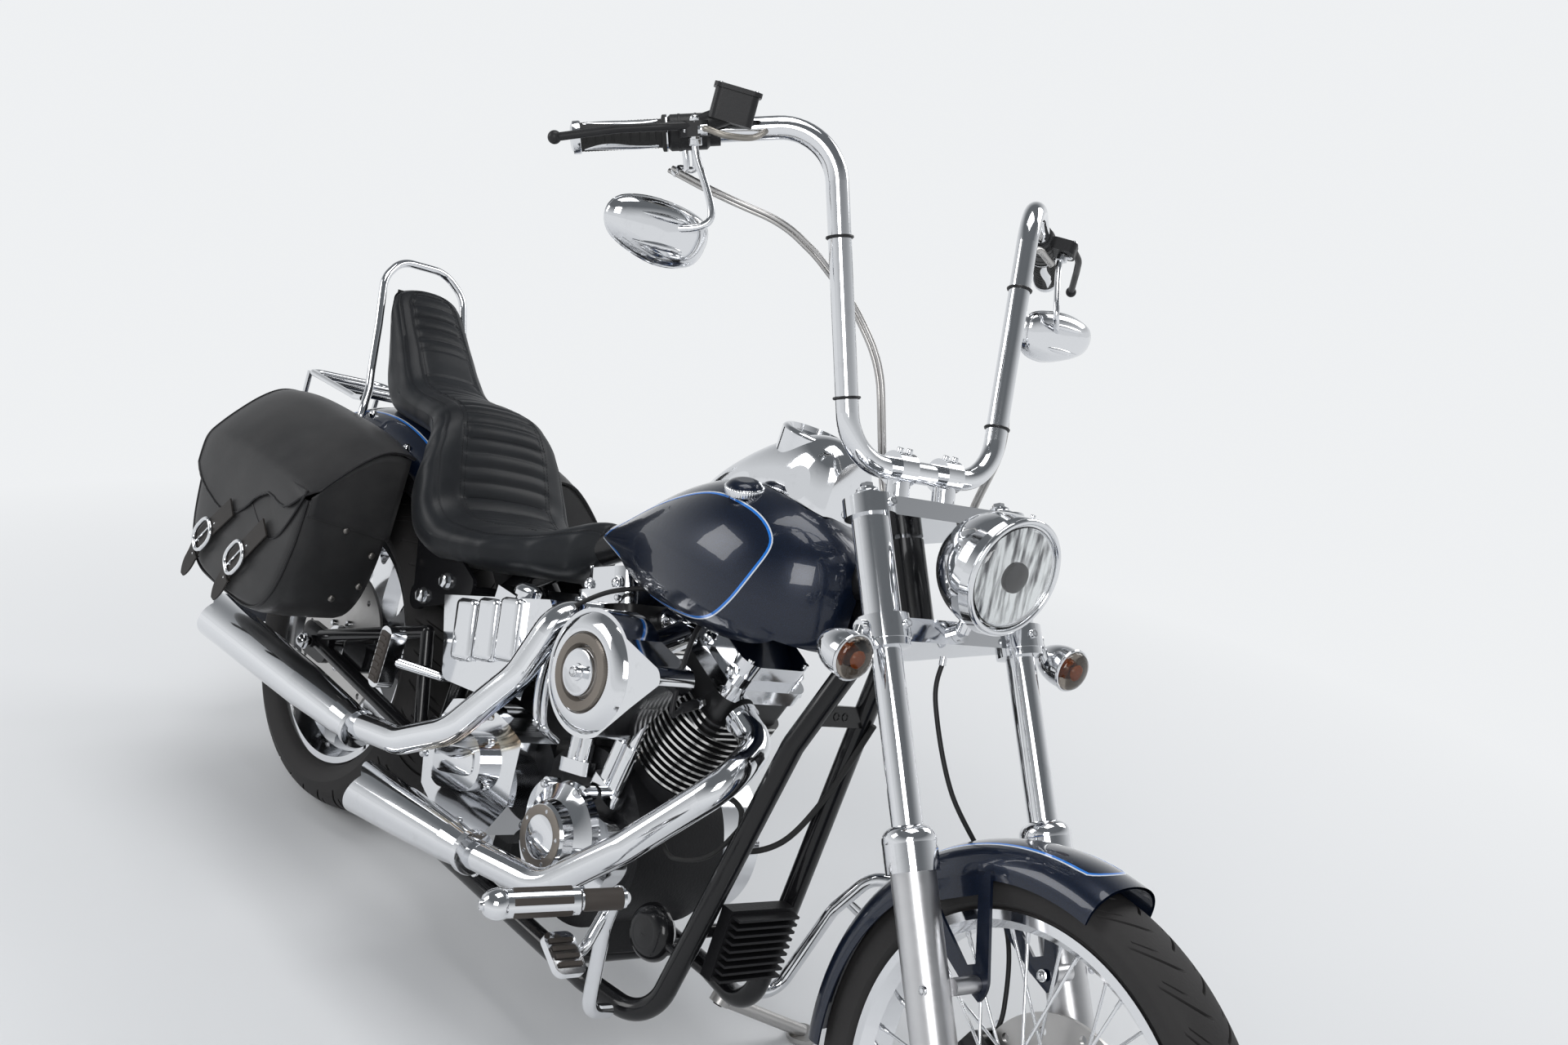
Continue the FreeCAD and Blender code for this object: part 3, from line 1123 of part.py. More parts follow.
# Seat: what a side profile and a plan outline share, cut where it sits on the frame and fender
seatSide = plate("SeatSide", [
    ("-90", "784"), ("40", "780"), ("100", "785"), ("150", "770"), ("172", "700"), ("180", "640"), ("230",
        "600"),
    ("300", "594"), ("430", "622"), ("560", "660"), ("604", "706"), ("602", "780"), ("594", "790", "via"),
    ("572", "782"), ("500", "735"), ("400", "708"), ("330", "700"), ("285", "720"), ("240", "800"), ("180",
        "868"),
    ("60", "868"), ("-10", "885"), ("-150", "1005"), ("-178", "1020", "via"), ("-198", "998"), ("-130",
        "860"),
], "500", Placement(Vector(), sideways))
seatPlan = plate("SeatPlan", [
    ("610", "-26"), ("610", "26"), ("520", "75"), ("430", "seatHalfWidth - 25"), ("330", "seatHalfWidth"),
    ("230", "seatHalfWidth"), ("150", "seatHalfWidth - 47"), ("100", "106"), ("-40", "100"),
    ("-100", "backrestHalfWidth + 6"), ("-215", "backrestHalfWidth - 6"), ("-215", "-backrestHalfWidth + 6"),
    ("-100", "-backrestHalfWidth - 6"), ("-40", "-100"), ("100", "-106"), ("150", "-seatHalfWidth + 47"),
    ("230", "-seatHalfWidth"), ("330", "-seatHalfWidth"), ("430", "-seatHalfWidth + 25"), ("520", "-75"),
], "1000", Placement(Vector(0, 0, 800), Rotation()))
fenderOuter = "(rearTyreRadius + rearFenderGap + fenderWall)"
seatRooms = [
    block("SeatPostRoom", "52", "140", "78", seatPost - Vector(2, 0, 24)),
    bentTube("SeatSpineRoom", "backboneRadius + 0.4", backbonePoints, 120),
    rod("SeatFenderRoom", fenderOuter + " + 0.6", (0, -size("rearFenderHalf") - 9, rearAxle.z),
        (0, size("rearFenderHalf") + 9, rearAxle.z)),
    cutAway("OilTankTop", block("OilTankBlock", "330", "320", "200", (560, 0, 568), Rotation(left, -18)),
            block("OilTankLimit", "400", "340", "200", (560, 0, 900))),
]
for sign in (1, -1):
    seatRooms.append(block("SeatStrutRoom" + hand(sign), "130", "16", "130", (398, sign * 124.3, 582)))
node("seat", cutAway("Seat", shared("SeatPad", [seatSide, seatPlan]), joined("SeatRooms", seatRooms)))

node("rear_fender", fender("RearFender", size("rearTyreRadius") + size("rearFenderGap"),
    size("rearFenderHalf"),
                           size("fenderWall"), 80, rearAxle, 40, 195))
strutPlace = size("rearFenderHalf") + 4.4
strutParts = []
for sign in (1, -1):
    strut = plate("FenderStrut" + hand(sign), [
        ("-120", "735"), ("-60", "742"), ("150", "712"), ("215", "690"), ("430", "610"), ("436", "586",
            "via"),
        ("420", "565"), ("300", "510"), ("268", "505", "via"), ("262", "540"), ("225", "640"), ("190", "668",
            "via"),
        ("140", "680"), ("-110", "712")], "8", Placement(left * sign * strutPlace, sideways))
    parts = [strut]
    for index, (place, above) in enumerate(((-20, 720), (124, 698))):
        parts.append(rod("BagBracket%s%d" % (hand(sign), index), "8", (place, sign * (strutPlace + 3), above),
                         (place, sign * (size("bagInner") - 0.3), above)))
    strutParts.append(joined("Strut" + hand(sign), parts))
node("fender_struts", together("FenderStruts", strutParts))

# Sissy bar and luggage rack, bent from round bar
sissyFoot = strutPlace + 4 + 8 + 0.3
sissyPoints = [(-60, -sissyFoot, 700), (-62, -sissyFoot, 775), (-100, -114, 815), (-125, -106, 850), (-160,
    -98, 937),
               (-198, -92, 1024), (-222, -52, 1062)]
sissyPoints += [otherSide(point) for point in reversed(sissyPoints)]
node("sissy_bar", bentTube("SissyHoop", "8", sissyPoints, 60))
rackPoints = [(-98, -123, 795), (-150, -110, 786), (-404, -85, 780)]
rackPoints += [otherSide(point) for point in reversed(rackPoints)]
rackTubes = [bentTube("RackHoop", "6", rackPoints, 34)]
for index, (place, half) in enumerate(((-200, 104), (-262, 98), (-328, 92))):
    rackTubes.append(rod("RackBar%d" % index, "5", (place, -half, 785), (place, half, 785)))
for sign in (1, -1):
    rackTubes.append(bentTube("RackFoot" + hand(sign), "6", [
        (-398, sign * 84, 780), (-398, sign * 82, 700), (-374, sign * 80, 616)], 40))
node("luggage_rack", joined("LuggageRack", rackTubes))

# Saddlebags: a leather box shaped by a side profile and an end profile, under a hinged lid


def bagOutline(inset):
    """The bag seen from its side, drawn in by an inset."""
    return [
        ("bagLength - bagRear - %s" % inset, "bagFloor + 400"), ("bagLength - bagRear - %s" % inset,
            "bagFloor + 150"),
        ("bagLength - bagRear - 34 - %s" % inset, "bagFloor + 40", "via"),
        ("60", "bagFloor + %s" % inset), ("-140", "bagFloor + %s" % inset),
        ("-212", "bagFloor + 44 + %s" % inset, "via"),
        ("-bagRear + 6 + %s" % inset, "bagFloor + 150"), ("-bagRear + %s" % inset, "bagFloor + 400"),
    ]


def bagEnd(inset, top):
    """The bag seen from behind: its top falls away from the motorcycle."""
    return [
        ("bagInner + %s" % inset, "bagFloor + %s" % inset), ("bagInner + bagWidth - 16",
            "bagFloor + %s" % inset),
        ("bagInner + bagWidth - 4 - %s" % inset, "bagFloor + 8 + %s" % inset, "via"),
        ("bagInner + bagWidth - %s" % inset, "bagFloor + 24"),
        ("bagInner + bagWidth - %s" % inset, "bagFloor + bagHeight - bagDrop + %s" % top),
        ("bagInner + %s" % inset, "bagFloor + bagHeight + %s" % top),
    ]


def bagSolid(name, inset, top):
    turn = Rotation(Vector(0, 1, 0), Vector(0, 0, 1), Vector(1, 0, 0), "ZXY")
    return shared(name, [
        plate(name + "Side", bagOutline(inset), "900", Placement(Vector(), sideways)),
        plate(name + "End", bagEnd(inset, top), "900", Placement(Vector(), turn))])


lidRun = "bagLength + 8"


def lidProfile(name):
    """The lid's shell seen from behind, padded along the bag."""
    slope = "bagFloor + bagHeight"
    outer = [
        ("bagInner + 1", slope + " + 0.4"), ("bagInner + bagWidth + 0.6", slope + " - bagDrop + 0.4"),
        ("bagInner + bagWidth + 0.6", slope + " - bagDrop - 118"),
        ("bagInner + bagWidth + 0.6 + bagWall", slope + " - bagDrop - 118"),
        ("bagInner + bagWidth + 2 + bagWall", slope + " - bagDrop + 2"),
        ("bagInner + bagWidth - 14", slope + " - bagDrop + 30", "via"),
        ("bagInner + bagWidth * 0.62", slope + " - bagDrop * 0.3 + 6"),
        ("bagInner + bagWidth * 0.3", slope + " + 14", "via"), ("bagInner + 3", slope + " + 8"),
    ]
    turn = Rotation(Vector(0, 1, 0), Vector(0, 0, 1), Vector(1, 0, 0), "ZXY")
    middle = (size("bagLength") / 2 - size("bagRear"))
    return plate(name, outer, lidRun, Placement(Vector(middle, 0, 0), turn))


def lidCutter(name):
    """What is trimmed off the flap to leave its scalloped lower edge."""
    return plate(name, [
        ("-bagRear - 30", "bagFloor + 60"), ("-bagRear - 30", "bagFloor + 176"), ("-bagRear + 40",
            "bagFloor + 162"),
        ("-128", "bagFloor + 138", "via"), ("-66", "bagFloor + 146"), ("12", "bagFloor + 188", "via"),
        ("84", "bagFloor + 150"), ("134", "bagFloor + 188", "via"), ("bagLength - bagRear", "bagFloor + 258"),
        ("bagLength - bagRear + 30", "bagFloor + 262"), ("bagLength - bagRear + 30", "bagFloor + 60"),
    ], "900", Placement(Vector(), sideways))


for side in ("left", "right"):
    shell = cutAway("BagShell_" + side, bagSolid("BagOuter_" + side, "0", "0"),
                    bagSolid("BagHollow_" + side, "bagWall", "60"))
    flap = cutAway("BagLid_" + side, lidProfile("LidShell_" + side), lidCutter("LidScallops_" + side))
    if side == "right":
        shell, flap = mirrored("BagShellMirror", shell), mirrored("BagLidMirror", flap)
    node("saddlebag_" + side, shell)
    node("bag_lid_" + side, flap)

lampOut = Vector(-0.872, 0, 0.49)
lampSpot = rearAxle + lampOut * (reading(fenderOuter) + 0.3)
node("rear_lamp", turned("RearLamp", [
    ("0", "0"), ("0", "40"), ("26", "44"), ("46", "34", "via"), ("54", "6"), ("54", "0")], lampSpot, lampOut))

regulatorFins = [block("RegulatorBody", "22", "128", "112", regulatorBar + Vector(10.3 + 11, 0, -8))]
for fin in range(9):
    regulatorFins.append(block("RegulatorFin%d" % fin, "20", "124", "4", regulatorBar + Vector(10.3 + 30, 0,
        -56 + 12 * fin)))
node("regulator", joined("Regulator", regulatorFins))

# Foot controls: a bracket off each rail, a peg and a pedal; the passenger pegs fold up behind
footParts = []
for sign in (1, -1):
    side = railHalf + size("frameTubeRadius") + 0.3
    arm = bentTube("PegArm" + hand(sign), "11", [
        (1085, sign * side, railHeight), (1096, sign * (side + 50), railHeight + 10), (1118, sign * 236, 330),
        (1150, sign * 262, 402), (1192, sign * 290, 414)], 50)
    pegStart, pegEnd = Vector(1192, sign * 286, 414), Vector(1122, sign * 460, 376)
    pegRun = (pegEnd - pegStart).normalize()
    peg = turned("Peg" + hand(sign), [
        ("0", "0"), ("0", "13"), ("60", "13"), ("64", "19"), ("160", "19"), ("178", "20", "via"), ("190",
            "12"),
        ("190", "0")], pegStart, pegRun)
    pedal = bentTube("PedalArm" + hand(sign), "8", [
        (1124, sign * 250, 352), (1160, sign * 300, 318), (1182, sign * 350, 326)], 60)
    pad = roundedPlate("PedalPad" + hand(sign), "64", "50", "12", "10", Placement(
        Vector(1188, sign * 358, 334), Rotation(Vector(0, 1, 0), 28)))
    footParts.append(joined("FootControl" + hand(sign), [arm, peg, pedal, pad]))
node("foot_controls", together("FootControls", footParts))
pegParts = []
for sign in (1, -1):
    postSide = postHalf + size("frameTubeRadius") + 0.3
    stem = bentTube("FoldStem" + hand(sign), "9", [
        fromCrank(-420, sign * postSide, 94), fromCrank(-420, sign * (postSide + 30), 94), (366, sign * 204,
            431)], 16)
    rest = roundedPlate("FoldPeg" + hand(sign), "36", "110", "16", "30", Placement(Vector(364, sign * 206,
        434), sideways))
    pegParts.append(joined("PassengerPeg" + hand(sign), [stem, rest]))
node("passenger_pegs", together("PassengerPegs", pegParts))

# Side stand: an eye on a tilted pin below the left rail, with its foot ahead of the pin
tilt = math.radians(size("leanAngle"))
footSide = 322
footPoint = Vector(standPivot.x + size("standReach"), footSide, footSide * math.tan(tilt))
groundNormal = Vector(0, -math.sin(tilt), math.cos(tilt))
standEye = cutAway("StandEye", rod("StandHead", "17", standPivot - standAxis * 9, standPivot + standAxis * 9),
                   rod("StandBore", "8.4", standPivot - standAxis * 20, standPivot + standAxis * 20))
legRun = (footPoint - standPivot).normalize()
node("side_stand", joined("SideStand", [
    standEye,
    rod("StandLeg", "standRadius", standPivot + legRun * 14, footPoint + groundNormal * 10),
    rod("StandFoot", "standFootRadius", footPoint, footPoint + groundNormal * 8),
]))

# The bars and the front wheel are turned a little to the right, as it is parked
steeringNodes = ("fork_upper", "fork_sliders", "front_fender", "front_caliper", "handlebar", "grips",
    "hand_controls",
                 "mirrors", "control_cables", "headlamp", "headlamp_lens", "front_signals", "front_tyre",
                 "front_wheel",
                 "front_disc")
swivel = Rotation(forkUp, -size("steerAngle"))
steerPivot = onFork(0, -size("forkOffset"))
turnedFork = Placement(steerPivot - swivel.multVec(steerPivot), swivel)
for label, item in nodes.items():
    item.Label = label
doc.recompute()
for label in steeringNodes:
    nodes[label].Placement = turnedFork.multiply(nodes[label].Placement)
doc.recompute()

# The motorcycle leans onto its side stand, and its origin is under its middle
lean = Rotation(Vector(1, 0, 0), -size("leanAngle"))
leaned = Part.Compound([item.Shape for item in nodes.values()])
leaned.Placement = Placement(Vector(), lean)
room = leaned.optimalBoundingBox(False, False)
stance = Placement(Vector(-room.Center.x, -room.Center.y, -room.ZMin), lean)
for item in nodes.values():
    item.Placement = stance.multiply(item.Placement)
doc.recompute()

for item in doc.Objects:
    if "Invalid" in item.State or "Error" in item.State:
        raise RuntimeError("%s failed to build" % item.Name)
os.makedirs("parts", exist_ok=True)
for label, item in nodes.items():
    if item.Shape.isNull() or not item.Shape.isValid():
        raise RuntimeError("%s has no valid shape" % label)
for label, item in nodes.items():
    item.Shape.exportStep("parts/%s.step" % label)
    print(label, len(item.Shape.Solids), round(item.Shape.Volume / 1000), "cm3")
print("stance", stance, "room", room)
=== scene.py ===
import math

import bmesh
import bpy
from mathutils import Matrix, Vector, noise
from mathutils.bvhtree import BVHTree
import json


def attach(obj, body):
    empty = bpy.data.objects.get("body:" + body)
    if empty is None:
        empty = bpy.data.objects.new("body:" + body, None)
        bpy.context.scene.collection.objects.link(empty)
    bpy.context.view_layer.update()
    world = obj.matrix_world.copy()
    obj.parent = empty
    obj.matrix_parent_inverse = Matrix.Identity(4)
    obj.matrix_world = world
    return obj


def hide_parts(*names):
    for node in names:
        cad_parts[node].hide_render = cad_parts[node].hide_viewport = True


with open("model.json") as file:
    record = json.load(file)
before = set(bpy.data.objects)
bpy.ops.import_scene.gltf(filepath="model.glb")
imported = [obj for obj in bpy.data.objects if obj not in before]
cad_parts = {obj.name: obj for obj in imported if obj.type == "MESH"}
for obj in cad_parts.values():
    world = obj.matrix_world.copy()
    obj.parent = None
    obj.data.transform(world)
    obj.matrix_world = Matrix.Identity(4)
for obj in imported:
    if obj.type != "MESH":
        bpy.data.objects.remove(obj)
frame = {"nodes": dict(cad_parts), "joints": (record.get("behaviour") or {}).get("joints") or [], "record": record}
nodes = frame["nodes"]
joints = {joint["name"]: joint for joint in frame["joints"]}
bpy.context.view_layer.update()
print("frame loaded:", len(nodes), "nodes")

# The motorcycle is drawn upright: x ahead of the rear axle, y to its left, z up from the ground, in metres
bike = {"wheelBase": 1.705, "rearAxle": 0.326, "frontAxle": 0.342, "rake": 33.5, "offset": 0.071,
        "forkHalf": 0.130}


def standing():
    # the rear axle's joint says how far the motorcycle leans and where its upright frame lies
    spin = joints["rear_wheel_spin"]
    across = Vector(spin["axis"]).normalized()
    turn = Matrix.Rotation(math.atan2(across.z, across.y), 4, "X")
    shift = Vector(spin["pos_m"]) - turn @ Vector((0, 0, bike["rearAxle"]))
    return Matrix.Translation(shift) @ turn


def spoke(turn):
    # a direction in the motorcycle's own plane, 0 pointing ahead
    return Vector((math.cos(turn), 0, math.sin(turn)))


toFront, toLeft, toRight = Vector((1, 0, 0)), Vector((0, 1, 0)), Vector((0, -1, 0))
upright = standing()
rake = math.radians(bike["rake"])
forkUp = Vector((-math.sin(rake), 0, math.cos(rake)))
forkAhead = spoke(rake)
frontAxle, rearAxle = Vector((bike["wheelBase"], 0, bike["frontAxle"])), Vector((0, 0, bike["rearAxle"]))


def onFork(along, ahead=0.0, side=0.0):
    return frontAxle + forkUp * along + forkAhead * ahead + Vector((0, side, 0))


def steered():
    # the front wheel's own axis says how far the bars are turned
    across = upright.to_3x3().inverted() @ Vector(joints["front_wheel_spin"]["axis"])
    angle = math.atan2(-across.dot(forkAhead), across.y)
    pivot = Matrix.Translation(onFork(0, -bike["offset"]))
    return pivot @ Matrix.Rotation(angle, 4, forkUp) @ pivot.inverted()


turnedFork = upright @ steered()
stances = {"steering": turnedFork, "front_wheel": turnedFork}


# Shader maths: a wire is a socket that takes part in expressions
class Wire:
    def __init__(self, shade, socket):
        self.shade = shade
        self.socket = socket

    def maths(self, operation, first, second=0.0):
        return self.shade.node("ShaderNodeMath", {"operation": operation}, {0: first, 1: second})

    def __add__(self, other):
        return self.maths("ADD", self, other)

    def __radd__(self, other):
        return self.maths("ADD", other, self)

    def __sub__(self, other):
        return self.maths("SUBTRACT", self, other)

    def __rsub__(self, other):
        return self.maths("SUBTRACT", other, self)

    def __mul__(self, other):
        return self.maths("MULTIPLY", self, other)

    def __rmul__(self, other):
        return self.maths("MULTIPLY", other, self)

    def __gt__(self, other):
        return self.maths("GREATER_THAN", self, other)

    def __lt__(self, other):
        return self.maths("LESS_THAN", self, other)


class Graph:
    def __init__(self, tree):
        self.tree = tree
        tree.nodes.clear()

    def plug(self, socket, value):
        if isinstance(value, Wire):
            self.tree.links.new(value.socket, socket)
        else:
            socket.default_value = value

    def node(self, kind, settings=None, sockets=None, out=0):
        made = self.tree.nodes.new(kind)
        for name, value in (settings or {}).items():
            if name == "stops":
                ramp = made.color_ramp
                while len(ramp.elements) < len(value):
                    ramp.elements.new(0.5)
                for element, (place, colour) in zip(ramp.elements, value):
                    element.position = place
                    element.color = (*colour, 1) if len(colour) == 3 else colour
            else:
                setattr(made, name, value)
        for name, value in (sockets or {}).items():
            self.plug(made.inputs[name], value)
        return Wire(self, made.outputs[out])

    def place(self):
        return self.node("ShaderNodeTexCoord", out="Object")

    def noise(self, scale, detail=3.0, rough=0.5, where=None):
        return self.node("ShaderNodeTexNoise", {}, {"Vector": where or self.place(), "Scale": scale,
                                                    "Detail": detail, "Roughness": rough})

    def stretched(self, scale):
        return self.node("ShaderNodeMapping", {}, {"Vector": self.place(), "Scale": scale})

    def ramp(self, wire, stops):
        return self.node("ShaderNodeValToRGB", {"stops": stops}, {"Fac": wire})

    def dot(self, vector, axis):
        return self.node("ShaderNodeVectorMath", {"operation": "DOT_PRODUCT"}, {0: vector, 1: axis},
                         out="Value")

    def span(self, value, low, high):
        return self.node("ShaderNodeMapRange", {}, {"Value": value, "From Min": low, "From Max": high})

    def bump(self, height, strength, distance):
        return self.node("ShaderNodeBump", {}, {"Strength": strength, "Distance": distance, "Height": height})

    def blend(self, mask, first, second):
        # colours given as three numbers are made opaque
        first, second = [(*tint, 1) if isinstance(tint, (tuple, list)) and len(tint) == 3 else tint
                         for tint in (first, second)]
        return self.node("ShaderNodeMix", {"data_type": "RGBA"}, {"Factor": mask, 6: first, 7: second}, out=2)


class Shade(Graph):
    def __init__(self, name, constants=None):
        self.material = bpy.data.materials.new(name)
        self.material.use_nodes = True
        super().__init__(self.material.node_tree)
        self.output = self.tree.nodes.new("ShaderNodeOutputMaterial")
        self.glossy = self.tree.nodes.new("ShaderNodeBsdfPrincipled")
        self.tree.links.new(self.glossy.outputs[0], self.output.inputs["Surface"])
        self.surface(constants or {})

    def surface(self, sockets):
        for name, value in sockets.items():
            self.plug(self.glossy.inputs[name], value)
        return self.material


def scaled(tint, share, extra=0.0):
    return tuple(min(1.0, part * share + extra) for part in tint)


print("shader classes ready")


# Forms: points and faces that grow piece by piece, in the upright frame
class Form:
    def __init__(self):
        self.points = []
        self.faces = []

    def add(self, points, faces):
        start = len(self.points)
        self.points += [Vector(point) for point in points]
        self.faces += [tuple(start + corner for corner in face) for face in faces]

    def rings(self, rings, closedAcross=True, closedAlong=False, capped=True):
        # rows of points joined into a skin
        count = len(rings[0])
        faces = []
        last = len(rings) if closedAlong else len(rings) - 1
        for row in range(last):
            nextRow = (row + 1) % len(rings)
            for place in range(count if closedAcross else count - 1):
                beside = (place + 1) % count
                faces.append((row * count + place, row * count + beside, nextRow * count + beside,
                              nextRow * count + place))
        if capped and not closedAlong and closedAcross:
            faces.append(tuple(reversed(range(count))))
            faces.append(tuple(range((len(rings) - 1) * count, len(rings) * count)))
        self.add([point for ring in rings for point in ring], faces)

    def sheet(self, rows, closedAlong=False):
        # an open skin, such as a flap
        self.rings(rows, closedAcross=False, closedAlong=closedAlong, capped=False)

    def lathe(self, profile, centre, axis, steps=32, lump=None):
        # a profile of (along, radius) swung round an axis; lump may change the radius round the ring
        ahead = axes(axis)[2]
        self.rings([circle(Vector(centre) + ahead * along, axis,
                           (lambda swing: lump(along, radius, swing)) if lump else radius, steps)
                    for along, radius in profile])

    def tube(self, line, radius, sides=10, closed=False):
        rings = []
        heading = None
        for index, spot in enumerate(line):
            before = line[index - 1] if index or closed else spot
            after = line[(index + 1) % len(line)] if index < len(line) - 1 or closed else spot
            ahead = (after - before).normalized()
            if heading is None:
                heading = axes(ahead)[0]
            heading = (heading - ahead * heading.dot(ahead)).normalized()
            lift = ahead.cross(heading)
            thick = radius(index / (len(line) - 1)) if callable(radius) else radius
            rings.append([spot + (heading * math.cos(swing) + lift * math.sin(swing)) * thick
                          for swing in turns(sides)])
        self.rings(rings, closedAlong=closed)

    def ribbon(self, line, across, width, thick):
        # a flat strap along a line: across gives its sideways direction and normal at each point
        rings = []
        for index, spot in enumerate(line):
            sideways, normal = across(index)
            half = width(index) / 2 if callable(width) else width / 2
            rings.append([spot + sideways * half - normal * thick / 2, spot + sideways * (half + thick * 0.2),
                          spot + sideways * half + normal * thick / 2,
                          spot - sideways * half + normal * thick / 2,
                          spot - sideways * (half + thick * 0.2),
                          spot - sideways * half - normal * thick / 2])
        self.rings(rings)

    def bar(self, start, end, width, thick, up=(0, 0, 1)):
        start, end = Vector(start), Vector(end)
        ahead = (end - start).normalized()
        side = ahead.cross(Vector(up)).normalized()
        lift = side.cross(ahead)
        self.ribbon([start, end], lambda index: (side, lift), width, thick)

    def hexBolt(self, centre, axis, across, high):
        # a six-sided head with a chamfered top on a round washer
        self.lathe([(0, across * 0.72), (high * 0.22, across * 0.72), (high * 0.24, across * 0.5)], centre,
                   axis, 20)
        self.lathe([(high * 0.2, across * 0.56), (high * 0.9, across * 0.56), (high, across * 0.48),
                    (high, 0.0004)],
                   centre, axis, 6)

    def socketBolt(self, centre, axis, across, high):
        # a round head with a hexagonal recess
        self.lathe([(0, across * 0.5), (high * 0.85, across * 0.5), (high, across * 0.44)], centre, axis, 20)
        ahead = axes(axis)[2]
        top, bottom = Vector(centre) + ahead * high, Vector(centre) + ahead * high * 0.45

        def hexagon(swing):
            return across * 0.25 * math.cos(math.pi / 6) / math.cos(swing % (math.pi / 3) - math.pi / 6)

        floor = circle(bottom, axis, hexagon, 24)
        self.rings([circle(top, axis, across * 0.44, 24), circle(top, axis, hexagon, 24), floor],
                   capped=False)
        self.add(floor, [tuple(range(24))])

    def domeNut(self, centre, axis, across, high):
        self.lathe([(0, across * 0.62), (high * 0.12, across * 0.62)], centre, axis, 20)
        self.lathe([(high * 0.1, across * 0.56), (high * 0.5, across * 0.56), (high * 0.55, across * 0.5)],
                   centre, axis, 6)
        dome = [(high * (0.5 + 0.5 * math.sin(turn)), across * 0.46 * math.cos(turn))
                for turn in [math.pi / 2 * step / 6 for step in range(6)]]
        self.lathe(dome + [(high, 0.0003)], centre, axis, 20)

    def button(self, centre, axis, radius, high):
        # a shallow domed rivet or cap
        self.lathe([(-high * 0.3, radius), (high * 0.3, radius), (high * 0.75, radius * 0.8),
                    (high, radius * 0.4),
                    (high, 0.0002)], centre, axis, 18)


def axes(axis):
    ahead = Vector(axis).normalized()
    helper = Vector((0, 0, 1)) if abs(ahead.z) < 0.9 else Vector((1, 0, 0))
    side = ahead.cross(helper).normalized()
    return side, ahead.cross(side), ahead


def circle(centre, axis, reach, steps):
    # points round an axis; reach is a radius, or gives one for each angle
    side, up = axes(axis)[:2]
    return [Vector(centre) + (side * math.cos(swing) + up * math.sin(swing))
            * (reach(swing) if callable(reach) else reach) for swing in turns(steps)]


def smoothLine(corners, count, closed=False):
    # a rounded line through the corners, cut into even steps; corners may have any number of coordinates
    corners = [Vector(corner) for corner in corners]
    total = len(corners)
    dense = []
    for index in range(total if closed else total - 1):
        if closed:
            four = [corners[(index + shift) % total] for shift in (-1, 0, 1, 2)]
        else:
            four = [corners[min(max(index + shift, 0), total - 1)] for shift in (-1, 0, 1, 2)]
        before, start, end, after = four
        for step in range(16):
            t = step / 16
            square = (2 * before - 5 * start + 4 * end - after) * t * t
            cube = (3 * start - before - 3 * end + after) * t * t * t
            dense.append(0.5 * (2 * start + (end - before) * t + square + cube))
    dense.append(corners[0].copy() if closed else corners[-1].copy())
    lengths = [0.0]
    for first, second in zip(dense, dense[1:]):
        lengths.append(lengths[-1] + (second - first).length)
    steps = count if closed else count - 1
    line, place = [], 0
    for step in range(count):
        goal = lengths[-1] * step / steps
        while place < len(dense) - 2 and lengths[place + 1] < goal:
            place += 1
        span = lengths[place + 1] - lengths[place]
        share = min(1.0, (goal - lengths[place]) / span) if span else 0.0
        line.append(dense[place].lerp(dense[place + 1], share))
    return line


def within(value, low, high):
    return min(1.0, max(0.0, (value - low) / (high - low)))


def signedPower(value, power):
    # a power that keeps the sign, for rounded squares
    return math.copysign(abs(value) ** power, value)


def beside(line, index):
    # the neighbours of a point, or the point itself at an end
    return line[max(index - 1, 0)], line[min(index + 1, len(line) - 1)]


def turns(count, shift=0.0):
    # even angles round a circle
    return [math.tau * (step + shift) / count for step in range(count)]


def sided(spot, sign):
    # a place or direction of the left side, taken to the right when sign is negative
    return Vector((spot.x, spot.y * sign, spot.z))


def showPiece(name, mesh, body, stands):
    piece = bpy.data.objects.new(name, mesh)
    bpy.context.scene.collection.objects.link(piece)
    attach(piece, body)
    if stands:
        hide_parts(*stands)
    return piece


def makePiece(name, form, finish, body="root", sharp=40, stands=(), bevel=0.0):
    # the piece wears the finish of the named slot
    stance = stances.get(body, upright)
    mesh = bpy.data.meshes.new(name)
    mesh.from_pydata([stance @ point for point in form.points], [], form.faces)
    work = bmesh.new()
    work.from_mesh(mesh)
    bmesh.ops.remove_doubles(work, verts=work.verts, dist=0.000002)
    bmesh.ops.recalc_face_normals(work, faces=work.faces)
    work.to_mesh(mesh)
    work.free()
    mesh.shade_smooth()
    mesh.set_sharp_from_angle(angle=math.radians(sharp))
    mesh.materials.append(finishes[finish])
    piece = showPiece(name, mesh, body, stands)
    if bevel:
        edge = piece.modifiers.new("Edge", "BEVEL")
        edge.width, edge.segments, edge.angle_limit = bevel, 2, math.radians(40)
    return piece


def mirroredForm(form):
    other = Form()
    other.add([Vector((point.x, -point.y, point.z)) for point in form.points],
              [face[::-1] for face in form.faces])
    return other


def paired(form):
    # a form and its mirror image
    both = mirroredForm(form)
    both.add(form.points, form.faces)
    return both


print("mesh tools ready")


# Camera: the photograph's own view, found from the bike's known lines
view = {
    "place": (2.6421, -1.69806, 1.24326),
    "forward": (-0.69405, 0.70663, -0.13771),
    "up": (-0.31389, -0.12488, 0.94121),
    "lens": 36.445,
    "sensor": 36.0,
}


